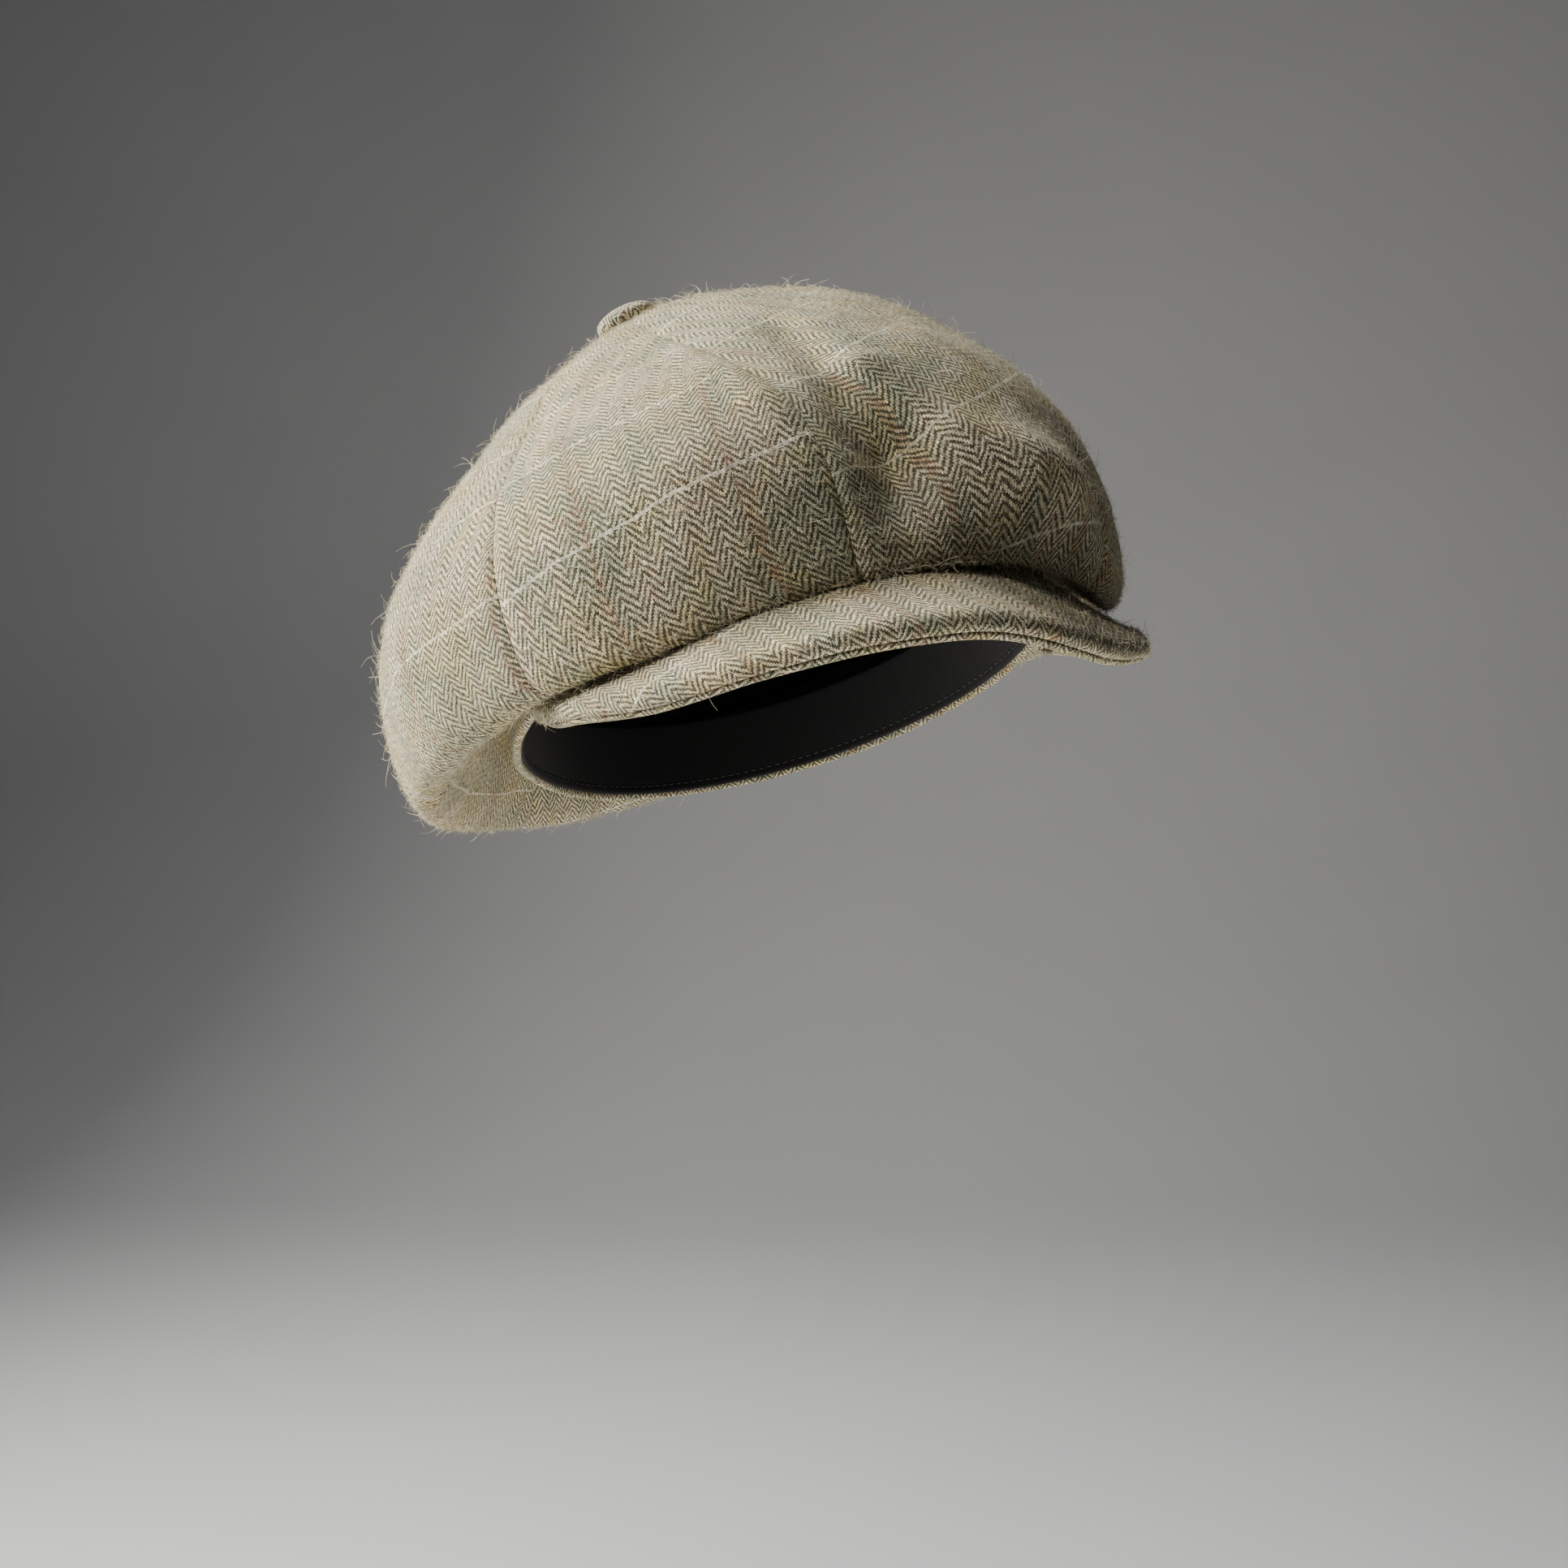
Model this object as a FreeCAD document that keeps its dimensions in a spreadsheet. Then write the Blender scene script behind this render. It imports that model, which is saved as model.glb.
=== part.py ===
import FreeCAD, Part
import math
import os
import Sketcher

# Newsboy cap: eight gored crown panels over a hat band, a lining of eight
# matching panels, a sweatband, a stiffened brim and a covered button.
# Frame: origin at the centre of the head opening, in the plane of the band's
# lower edge.  +Z runs up through the crown, -Y is the brim's side and +X is
# the wearer's left.  Lengths are in millimetres and angles in degrees.

Vec = FreeCAD.Vector
doc = FreeCAD.newDocument("newsboy_cap")

# --- driving dimensions -----------------------------------------------------
SIZES = (
    # head opening and bands
    ("head_half_width", 81.5),       # inside of the sweatband, side to side
    ("head_half_length", 99.5),      # inside of the sweatband, front to back
    ("sweatband_thickness", 0.8),
    ("sweatband_height", 27.0),
    ("sweatband_lift", 1.0),         # its lower edge above the band's fold
    ("layer_gap", 0.3),              # clearance between layers that are sewn together
    ("band_thickness", 2.4),         # tweed folded double and pressed
    ("band_height", 24.0),
    ("band_edge_radius", 1.0),       # the pressed fold along the lower edge
    # cloth
    ("tweed_thickness", 1.8),
    ("lining_thickness", 0.5),
    ("lining_gap", 2.6),             # room between tweed and lining for seam allowances
    ("seam_gap", 0.3),               # between neighbouring panels
    # crown: how far its widest ring stands out past the band
    ("overhang_left", 36.5),
    ("overhang_right", 36.5),
    ("overhang_front", 18.0),
    ("overhang_back", 33.5),
    ("widest_lift", 13.0),           # widest ring above the band's upper edge
    ("widest_slope_x", 0.16),        # that ring's rise per millimetre to the left
    ("widest_slope_y", 0.05),        # and per millimetre to the back
    # crown: underside that rolls from the band down and out to the widest ring
    ("tuck_share", 0.62),
    ("tuck_drop", 36.0),
    ("tuck_drop_front", -1.0),
    ("roll_drop", 28.0),
    ("roll_drop_front", -13.0),
    ("sag_roll", 22.0),              # how much lower it hangs over the brim
    ("sag_tuck", 11.0),
    ("sag_share", 0.25),             # and how much nearer the band it is tucked there
    ("sag_turn", 45.0),              # middle of that sag, round to the wearer's left
    ("shoulder_rise", 23.6),
    ("shoulder_rise_front", -8.4),
    # crown: top, which leans with its button towards the wearer's right
    ("button_x", -21.0),
    ("button_y", -1.0),
    ("crown_rise", 114.0),           # button seat above the band's upper edge
    ("top_slope_x", 0.387),
    ("top_slope_y", 0.30),
    ("upper_share", 0.343),
    ("upper_rise", -30.4),
    ("inner_share", 0.742),
    ("inner_rise", -1.9),
    ("twist_side", -9.5),            # how the slouched crown carries its seams round
    ("twist_upper", -17.5),
    ("twist_inner", -28.0),
    ("apex_hole_radius", 3.0),       # where the eight points meet under the button
    ("lining_hole_radius", 2.0),
    ("lining_share", 0.5),
    # brim
    ("brim_half_angle", 74.5),       # share of the band it is sewn to, each side of the front
    ("brim_tip_share", 0.992),
    ("brim_seat_height", -2.0),      # middle of its thickness at the seam
    ("brim_length", 45.5),
    ("brim_roundness", 2.2),
    ("brim_end_power", 0.426),
    ("brim_forward_share", 0.582),
    ("brim_droop_front", 41.0),
    ("brim_droop_end", 50.0),
    ("brim_flex_gap", 0.8),          # room for the seam to bend
    ("brim_edge_margin", 5.0),       # width of the rounded outer edge
    ("core_thickness", 1.6),
    ("core_edge_margin", 4.0),
    ("core_seam_margin", 1.5),
    ("core_share", 0.93),
    # covered button
    ("button_radius", 9.6),
    ("button_dome_rise", 2.5),
    ("button_cloth", 1.1),
    ("button_turn_in", 2.2),         # width of cloth turned under the shell
    ("button_fit", 0.1),             # clearance between the parts of the button
    ("shell_thickness", 0.4),
    ("back_thickness", 0.6),
    ("shank_radius", 2.2),
    ("shank_bore_radius", 1.4),
    ("thread_radius", 1.2),
    ("upper_knot_radius", 2.2),
    ("lower_knot_radius", 3.6),
    ("knot_thickness", 0.5),
)
PANEL_NAMES = (
    "front_left", "left_front", "left_back", "back_left",
    "back_right", "right_back", "right_front", "front_right",
)
sheet = doc.addObject("Spreadsheet::Sheet", "sizes")
for row, (alias, value) in enumerate(SIZES, start=1):
    sheet.set("A%d" % row, alias)
    sheet.set("B%d" % row, str(value))
    sheet.setAlias("B%d" % row, alias)
doc.recompute()


def size(alias):
    """Read one driving dimension from the sheet."""
    return float(sheet.get(alias))


# --- shared helpers ---------------------------------------------------------
def origin_plane(body, role):
    """Find one of a body's own origin planes by its role."""
    for feature in body.Origin.OriginFeatures:
        if feature.Role == role:
            return feature
    raise RuntimeError("no origin plane " + role)


def new_sketch(body, name, role):
    sketch = body.newObject("Sketcher::SketchObject", name)
    sketch.AttachmentSupport = [(origin_plane(body, role), "")]
    sketch.MapMode = "FlatFace"
    return sketch


def pin_point(sketch, curve, end, spot, formulas):
    """Hold one end of a curve at a place given by two formulas of the sheet."""
    for kind, value, formula in zip(("DistanceX", "DistanceY"), spot, formulas):
        index = sketch.addConstraint(
            Sketcher.Constraint(kind, -1, 1, curve, end, value))
        sketch.setExpression("Constraints[%d]" % index, formula)


def add_ellipse(sketch, half_width, half_length):
    """Draw an ellipse about the origin, longer along Y, bound to two formulas."""
    start = sketch.GeometryCount
    sketch.addGeometry(Part.Ellipse(Vec(0, 2, 0), Vec(1, 0, 0), Vec(0, 0, 0)), False)
    sketch.exposeInternalGeometry(start)
    sketch.addConstraint(Sketcher.Constraint("Coincident", start, 3, -1, 1))
    major, minor = start + 1, start + 2
    sketch.addConstraint(Sketcher.Constraint("Vertical", major))
    for line, formula in ((major, half_length), (minor, half_width)):
        index = sketch.addConstraint(Sketcher.Constraint("Distance", line, 2.0))
        sketch.setExpression("Constraints[%d]" % index, "2 * (%s)" % formula)


def elliptic_band(name, wall, bottom, height, edge_radius=None):
    """A standing elliptic ring: an outer and an inner half-axis pair, padded upwards."""
    body = doc.addObject("PartDesign::Body", name)
    sketch = new_sketch(body, name + "_plan", "XY_Plane")
    add_ellipse(sketch, wall["outer_width"], wall["outer_length"])
    add_ellipse(sketch, wall["inner_width"], wall["inner_length"])
    sketch.setExpression("AttachmentOffset.Base.z", bottom)
    doc.recompute()
    pad = body.newObject("PartDesign::Pad", name + "_wall")
    pad.Profile = sketch
    pad.setExpression("Length", height)
    doc.recompute()
    if edge_radius:
        low = pad.Shape.BoundBox.ZMin
        folds = [
            "Edge%d" % number
            for number, edge in enumerate(pad.Shape.Edges, start=1)
            if edge.BoundBox.ZMax < low + 0.01
        ]
        fold = body.newObject("PartDesign::Fillet", name + "_fold")
        fold.Base = (pad, folds)
        fold.setExpression("Radius", edge_radius)
        doc.recompute()
    return body


# Each kind of outline segment: which end of the drawn curve comes first.  Arcs
# run anticlockwise, so one drawn outwards from the axis is taken end first.
SEGMENT_ENDS = {"line": (1, 2), "over": (2, 1), "under": (1, 2)}


def profile_segment(first, last, kind):
    """A line, or an arc centred on the axis, between two (x, z) spots."""
    if kind == "line":
        return Part.LineSegment(Vec(first[0], first[1], 0), Vec(last[0], last[1], 0))
    rim, top = (last, first) if kind == "over" else (first, last)
    centre = (rim[0] ** 2 + rim[1] ** 2 - top[1] ** 2) / (2 * (rim[1] - top[1]))
    circle = Part.Circle(Vec(0, centre, 0), Vec(0, 0, 1), top[1] - centre)
    return Part.ArcOfCircle(circle, math.atan2(rim[1] - centre, rim[0]), math.pi / 2)


def turned_piece(name, outline, placement):
    """Revolve a closed outline of (x formula, z formula, segment kind) about Z."""
    body = doc.addObject("PartDesign::Body", name)
    sketch = new_sketch(body, name + "_outline", "XZ_Plane")
    spots = [(sheet.evalExpression(x), sheet.evalExpression(z)) for x, z, _ in outline]
    for index, (_, _, kind) in enumerate(outline):
        following = (index + 1) % len(outline)
        sketch.addGeometry(profile_segment(spots[index], spots[following], kind), False)
    for index, (x, z, kind) in enumerate(outline):
        following = (index + 1) % len(outline)
        start, end = SEGMENT_ENDS[kind]
        next_start = SEGMENT_ENDS[outline[following][2]][0]
        sketch.addConstraint(
            Sketcher.Constraint("Coincident", index, end, following, next_start))
        if kind != "line":
            sketch.addConstraint(Sketcher.Constraint("PointOnObject", index, 3, -2))
        pin_point(sketch, index, start, spots[index], (x, z))
    doc.recompute()
    turned = body.newObject("PartDesign::Revolution", name + "_turned")
    turned.Profile = sketch
    turned.ReferenceAxis = (sketch, ["V_Axis"])
    turned.Angle = 360
    body.Placement = placement
    doc.recompute()
    return body


def smooth_curve(points):
    """A cubic curve through evenly numbered points."""
    curve = Part.BSplineCurve()
    last = len(points) - 1
    curve.interpolate(Points=points, Parameters=[index / last for index in range(last + 1)])
    return curve


def smooth_surface(rows):
    """A bicubic surface through a grid of points: along each row, then across the rows."""
    along = [smooth_curve(row) for row in rows]
    columns = zip(*[curve.getPoles() for curve in along])
    across = [smooth_curve(list(column)) for column in columns]
    poles = [list(line) for line in zip(*[curve.getPoles() for curve in across])]
    surface = Part.BSplineSurface()
    surface.buildFromPolesMultsKnots(
        poles,
        across[0].getMultiplicities(), along[0].getMultiplicities(),
        across[0].getKnots(), along[0].getKnots(),
        False, False, across[0].Degree, along[0].Degree)
    return surface


def straight_strip(first, last):
    """The ruled strip between two curves that have the same knots."""
    strip = Part.BSplineSurface()
    strip.buildFromPolesMultsKnots(
        [first.getPoles(), last.getPoles()], (2, 2), first.getMultiplicities(),
        (0, 1), first.getKnots(), False, False, 1, first.Degree)
    return strip


def cloth_solid(face_rows, back_rows):
    """Close the space between two grids of points, as many each way, into one solid."""
    face = smooth_surface(face_rows)
    back = smooth_surface(back_rows)
    surfaces = [face, back]
    for end in (0, 1):
        surfaces.append(straight_strip(face.uIso(end), back.uIso(end)))
        surfaces.append(straight_strip(face.vIso(end), back.vIso(end)))
    shell = Part.Shell([surface.toShape() for surface in surfaces])
    shell.sewShape()
    solid = Part.Solid(shell)
    if solid.Volume < 0:
        solid.reverse()
    return solid


def soft_piece(name, shape):
    """A free-form cloth piece, already in its place in the cap's frame."""
    piece = doc.addObject("Part::Feature", name)
    piece.Shape = shape
    piece.Placement = FreeCAD.Placement()
    return piece


def mix(first, last, share):
    return first * (1 - share) + last * share


# --- bands ------------------------------------------------------------------
SWEATBAND_WALL = {
    "inner_width": "sizes.head_half_width",
    "inner_length": "sizes.head_half_length",
    "outer_width": "sizes.head_half_width + sizes.sweatband_thickness",
    "outer_length": "sizes.head_half_length + sizes.sweatband_thickness",
}
BAND_WALL = {
    "inner_width": SWEATBAND_WALL["outer_width"] + " + sizes.layer_gap",
    "inner_length": SWEATBAND_WALL["outer_length"] + " + sizes.layer_gap",
    "outer_width": SWEATBAND_WALL["outer_width"] + " + sizes.layer_gap + sizes.band_thickness",
    "outer_length": SWEATBAND_WALL["outer_length"] + " + sizes.layer_gap + sizes.band_thickness",
}
band_half_width = sheet.evalExpression(BAND_WALL["outer_width"])
band_half_length = sheet.evalExpression(BAND_WALL["outer_length"])


def make_bands():
    band = elliptic_band(
        "hat_band", BAND_WALL, "0", "sizes.band_height", "sizes.band_edge_radius")
    sweatband = elliptic_band(
        "sweatband", SWEATBAND_WALL, "sizes.sweatband_lift", "sizes.sweatband_height")
    return [band, sweatband]


# --- crown surface ----------------------------------------------------------
widest_half_width = band_half_width + (size("overhang_left") + size("overhang_right")) / 2
widest_half_length = band_half_length + (size("overhang_front") + size("overhang_back")) / 2
widest_centre = Vec(
    (size("overhang_left") - size("overhang_right")) / 2,
    (size("overhang_back") - size("overhang_front")) / 2,
    size("band_height") + size("widest_lift"),
)
apex = Vec(size("button_x"), size("button_y"), size("band_height") + size("crown_rise"))


def band_top_point(angle):
    """Where the crown is sewn on: just outside the band's upper edge."""
    return Vec(
        (band_half_width + size("layer_gap")) * math.sin(angle),
        -(band_half_length + size("layer_gap")) * math.cos(angle),
        size("band_height"),
    )


def widest_point(angle):
    """The crown's widest ring, an ellipse in a tilted plane."""
    x = widest_centre.x + widest_half_width * math.sin(angle)
    y = widest_centre.y - widest_half_length * math.cos(angle)
    rise = size("widest_slope_x") * x + size("widest_slope_y") * y
    return Vec(x, y, widest_centre.z + rise)


def top_point(angle, share, rise):
    """A control point between the widest ring and the button, over the top plane."""
    spot = mix(widest_point(angle), apex, share)
    tilt_x = size("top_slope_x") * (spot.x - apex.x)
    tilt_y = size("top_slope_y") * (spot.y - apex.y)
    spot.z = apex.z + tilt_x + tilt_y + rise
    return spot


def turned(angle, twist):
    return angle + math.radians(size(twist))


def crown_controls(angle):
    """Control points of the crown's outline from the band to the button, at one angle."""
    side = turned(angle, "twist_side")
    front = math.cos(side)
    widest = widest_point(side)
    sag = max(math.cos(side - math.radians(size("sag_turn"))), 0) ** 2
    tuck_drop = size("tuck_drop") + size("tuck_drop_front") * front + size("sag_tuck") * sag
    roll_drop = size("roll_drop") + size("roll_drop_front") * front + size("sag_roll") * sag
    tuck = mix(band_top_point(side), widest, size("tuck_share") - size("sag_share") * sag)
    tuck.z = widest.z - tuck_drop
    roll = widest - Vec(0, 0, roll_drop)
    shoulder = widest + Vec(0, 0, size("shoulder_rise") + size("shoulder_rise_front") * front)
    upper = top_point(turned(angle, "twist_upper"), size("upper_share"), size("upper_rise"))
    inner = top_point(turned(angle, "twist_inner"), size("inner_share"), size("inner_rise"))
    return [band_top_point(angle), tuck, roll, shoulder, upper, inner, apex]


def lining_controls(angle):
    """The lining's outline: a plainer bag that doesn't follow the crown's fold down."""
    depth = size("tweed_thickness") + size("lining_gap")
    seam, _, roll, shoulder, upper, inner, top = crown_controls(angle)
    widest = widest_point(turned(angle, "twist_side"))
    inwards = widest_centre - widest
    inwards.z = 0
    inwards = inwards.normalize() * depth
    seat_depth = size("tweed_thickness") + size("layer_gap")
    seat = seam + inwards_from(crown_controls, angle, 0) * seat_depth
    drop = Vec(0, 0, -depth)
    return [
        seat,
        mix(seat, widest, size("lining_share")),
        mix(roll, widest, size("lining_share")) + inwards,
        shoulder + inwards + drop,
        upper + inwards + drop,
        inner + drop,
        top + drop,
    ]


def point_on(controls, angle, height):
    """A point on a crown layer; height runs from 0 at the band to 1 at the button."""
    outline = Part.BSplineCurve()
    outline.buildFromPoles(controls(angle), False, 3)
    return outline.value(height)


def inwards_from(controls, angle, height):
    """The direction from a crown layer's face towards the head."""
    low = max(height - HEIGHT_STEP, 0)
    high = min(height + HEIGHT_STEP, 1)
    along = point_on(controls, angle, high) - point_on(controls, angle, low)
    ahead = point_on(controls, angle + ANGLE_STEP, height)
    behind = point_on(controls, angle - ANGLE_STEP, height)
    return along.cross(ahead - behind).normalize()


ANGLE_STEP = math.radians(0.5)
HEIGHT_STEP = 0.002
PANEL_ROWS = 17
PANEL_COLUMNS = 7
PANEL_COUNT = len(PANEL_NAMES)


def gore(number, controls, thickness, hole_radius):
    """One of the eight gores of a crown layer, its cloth lying inside the layer's face."""
    width = 2 * math.pi / PANEL_COUNT
    tip = controls(0)[-1]
    near_tip = 0.99
    reach = (point_on(controls, 0, near_tip) - tip).Length / (1 - near_tip)
    top = 1 - hole_radius / reach
    face_rows = []
    back_rows = []
    for row in range(PANEL_ROWS):
        height = top * row / (PANEL_ROWS - 1)
        across = point_on(controls, 0, height) - point_on(controls, math.pi, height)
        half_gap = size("seam_gap") / across.Length
        first = number * width + half_gap
        last = (number + 1) * width - half_gap
        face_row = []
        back_row = []
        for column in range(PANEL_COLUMNS):
            angle = mix(first, last, column / (PANEL_COLUMNS - 1))
            spot = point_on(controls, angle, height)
            face_row.append(spot)
            back_row.append(spot + inwards_from(controls, angle, height) * thickness)
        face_rows.append(face_row)
        back_rows.append(back_row)
    return cloth_solid(face_rows, back_rows)


def make_crown():
    pieces = []
    for number, place in enumerate(PANEL_NAMES):
        panel = gore(
            number, crown_controls, size("tweed_thickness"), size("apex_hole_radius"))
        pieces.append(soft_piece("crown_panel_" + place, panel))
        lining = gore(
            number, lining_controls, size("lining_thickness"), size("lining_hole_radius"))
        pieces.append(soft_piece("lining_panel_" + place, lining))
    return pieces


# --- brim -------------------------------------------------------------------
cover_depth = size("core_thickness") / 2 + size("layer_gap")
brim_half_depth = cover_depth + size("tweed_thickness")
BRIM_COLUMNS = 31
BRIM_ROWS = 13


def brim_seam_point(share):
    """A point on the brim's sewn edge; share runs from -1 to 1 round the front."""
    angle = math.radians(size("brim_half_angle")) * share
    gap = size("brim_flex_gap")
    return Vec(
        (band_half_width + gap) * math.sin(angle),
        -(band_half_length + gap) * math.cos(angle),
        size("brim_seat_height"),
    )


def brim_reach(share):
    """How far the brim stands out from its seam, measured along its slope."""
    fade = 1 - abs(share) ** size("brim_roundness")
    return size("brim_length") * fade ** size("brim_end_power")


def brim_direction(share):
    """The brim's slope: out from the band, turned towards the front, and down."""
    angle = math.radians(size("brim_half_angle")) * share
    outwards = Vec(
        math.sin(angle) / band_half_width, -math.cos(angle) / band_half_length, 0).normalize()
    outwards = mix(outwards, Vec(0, -1, 0), size("brim_forward_share")).normalize()
    droop = math.radians(mix(size("brim_droop_front"), size("brim_droop_end"), share ** 2))
    return outwards * math.cos(droop) - Vec(0, 0, 1) * math.sin(droop)


def brim_point(share, reach):
    return brim_seam_point(share) + brim_direction(share) * reach


def brim_up(share):
    """The upward normal of the brim."""
    step = 0.01
    reach = brim_reach(share) / 2
    around = brim_point(share + step, reach) - brim_point(share - step, reach)
    return brim_direction(share).cross(around).normalize()


def brim_depths(share, edge_distance):
    """Half thickness of the brim, and of the hollow for its core, near the outer edge.

    Both close towards the edge as quarter ellipses, the hollow one cloth thickness
    further in, so the two covers meet round the edge.
    """
    margin = min(size("brim_edge_margin"), brim_reach(share) / 2)
    cloth = min(size("tweed_thickness"), margin / 2)
    meeting = size("layer_gap") / 2
    outside = min(edge_distance / margin, 1)
    inside = min(max(edge_distance - cloth, 0) / (margin - cloth), 1)
    outer = mix(meeting + cloth / 3, brim_half_depth, math.sqrt(1 - (1 - outside) ** 2))
    hollow = mix(meeting, cover_depth, math.sqrt(1 - (1 - inside) ** 2))
    return outer, hollow


def brim_layer(shares, distances, depths):
    """A solid between two depths of the brim.

    distances(share) lists the distances from the outer edge, seam first, and
    depths(share, distance) gives the layer's two depths, upwards positive.  The
    edge beside the band stands upright, so the seam can bend without rubbing.
    """
    upright = Vec(0, 0, 1)
    face_rows = []
    back_rows = []
    for share in shares:
        normal = brim_up(share)
        steep = upright / normal.z
        face_row = []
        back_row = []
        for distance in distances(share):
            reach = brim_reach(share) - distance
            away = mix(normal, steep, distance / brim_reach(share))
            face, back = depths(share, distance)
            spot = brim_point(share, reach)
            face_row.append(spot + away * face)
            back_row.append(spot + away * back)
        face_rows.append(face_row)
        back_rows.append(back_row)
    return cloth_solid(face_rows, back_rows)


def even_shares(limit):
    """Shares of the brim's half angle, closer together towards its two ends."""
    middle = (BRIM_COLUMNS - 1) / 2
    return [
        limit * math.sin(math.pi / 2 * (column - middle) / middle)
        for column in range(BRIM_COLUMNS)
    ]


def cover_distances(share):
    """Distances from the outer edge, closer together where the cover rounds it."""
    return [
        brim_reach(share) * (1 - row / (BRIM_ROWS - 1)) ** 2
        for row in range(BRIM_ROWS)
    ]


def core_distances(share):
    seam_side = brim_reach(share) - size("core_seam_margin")
    return [
        mix(seam_side, size("core_edge_margin"), row / (BRIM_ROWS - 1))
        for row in range(BRIM_ROWS)
    ]


def top_depths(share, distance):
    outer, hollow = brim_depths(share, distance)
    return outer, hollow


def under_depths(share, distance):
    outer, hollow = brim_depths(share, distance)
    return -hollow, -outer


def core_depths(share, distance):
    half = size("core_thickness") / 2
    return half, -half


def make_brim():
    cover_shares = even_shares(size("brim_tip_share"))
    top = brim_layer(cover_shares, cover_distances, top_depths)
    under = brim_layer(cover_shares, cover_distances, under_depths)
    core = brim_layer(even_shares(size("core_share")), core_distances, core_depths)
    return [
        soft_piece("brim_top_cover", top),
        soft_piece("brim_under_cover", under),
        soft_piece("brim_stiffener", core),
    ]


# --- covered button ---------------------------------------------------------
# Heights are above the button's seat; the outlines start on the axis or at the bore.
SIDE = "sizes.button_cloth + sizes.back_thickness + 3 * sizes.button_fit"
CROWN_BACK = "-sizes.layer_gap - sizes.tweed_thickness"
COVER_TOP = SIDE + " + sizes.button_dome_rise"
COVER_INSIDE = "sizes.button_radius - sizes.button_cloth"
SHELL_OUTSIDE = COVER_INSIDE + " - sizes.button_fit"
SHELL_INSIDE = SHELL_OUTSIDE + " - sizes.shell_thickness"
SHELL_TOP = COVER_TOP + " - sizes.button_cloth - sizes.button_fit"
OPENING = "sizes.button_radius - sizes.button_turn_in"
RIM = "sizes.button_cloth + sizes.button_fit"
BACK_TOP = RIM + " + sizes.back_thickness"
KNOT_SEAT = CROWN_BACK + " - sizes.layer_gap"


def make_button():
    normal = Vec(-size("top_slope_x"), -size("top_slope_y"), 1).normalize()
    placement = FreeCAD.Placement(
        apex + normal * size("layer_gap"), FreeCAD.Rotation(Vec(0, 0, 1), normal))
    cover = (
        ("0", COVER_TOP, "over"),
        ("sizes.button_radius", SIDE, "line"),
        ("sizes.button_radius", "0", "line"),
        (OPENING, "0", "line"),
        (OPENING, "sizes.button_cloth", "line"),
        (COVER_INSIDE, "sizes.button_cloth", "line"),
        (COVER_INSIDE, SIDE, "under"),
        ("0", COVER_TOP + " - sizes.button_cloth", "line"),
    )
    shell = (
        ("0", SHELL_TOP, "over"),
        (SHELL_OUTSIDE, SIDE, "line"),
        (SHELL_OUTSIDE, RIM, "line"),
        (SHELL_INSIDE, RIM, "line"),
        (SHELL_INSIDE, SIDE, "under"),
        ("0", SHELL_TOP + " - sizes.shell_thickness", "line"),
    )
    back = (
        ("sizes.shank_bore_radius", BACK_TOP, "line"),
        (SHELL_INSIDE + " - sizes.button_fit", BACK_TOP, "line"),
        (SHELL_INSIDE + " - sizes.button_fit", RIM, "line"),
        ("sizes.shank_radius", RIM, "line"),
        ("sizes.shank_radius", CROWN_BACK, "line"),
        ("sizes.shank_bore_radius", CROWN_BACK, "line"),
    )
    thread = (
        ("0", BACK_TOP + " + sizes.button_fit + sizes.knot_thickness", "line"),
        ("sizes.upper_knot_radius",
         BACK_TOP + " + sizes.button_fit + sizes.knot_thickness", "line"),
        ("sizes.upper_knot_radius", BACK_TOP + " + sizes.button_fit", "line"),
        ("sizes.thread_radius", BACK_TOP + " + sizes.button_fit", "line"),
        ("sizes.thread_radius", KNOT_SEAT, "line"),
        ("sizes.lower_knot_radius", KNOT_SEAT, "line"),
        ("sizes.lower_knot_radius", KNOT_SEAT + " - sizes.knot_thickness", "line"),
        ("0", KNOT_SEAT + " - sizes.knot_thickness", "line"),
    )
    return [
        turned_piece("button_cover", cover, placement),
        turned_piece("button_shell", shell, placement),
        turned_piece("button_back", back, placement),
        turned_piece("button_thread", thread, placement),
    ]


# --- build, check and write -------------------------------------------------
pieces = make_bands() + make_crown() + make_brim() + make_button()
doc.recompute()
for item in doc.Objects:
    if "Invalid" in item.State or "Error" in item.State:
        raise RuntimeError("failed object: " + item.Name)
for piece in pieces:
    shape = piece.Shape
    if shape.isNull() or not shape.isValid() or len(shape.Solids) != 1:
        raise RuntimeError("bad shape: " + piece.Label)
os.makedirs("parts", exist_ok=True)
for piece in pieces:
    piece.Shape.exportStep("parts/" + piece.Label + ".step")
print("wrote", len(pieces), "pieces")
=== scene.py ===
# %% [markdown]
# # A newsboy cap
#
# The cap is eight wool tweed gores sewn to a hat band, over a black lining of
# eight more gores.  A sweatband lines the band, a stiffened brim hangs from its
# front, and a cloth-covered button hides where the points of the gores meet.
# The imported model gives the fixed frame: sizes, bodies and the brim's hinge.

# %% Load the frame
import math
import random

import bmesh
import bpy
import numpy as np
from mathutils import Matrix, Vector, noise
from mathutils.bvhtree import BVHTree


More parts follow.
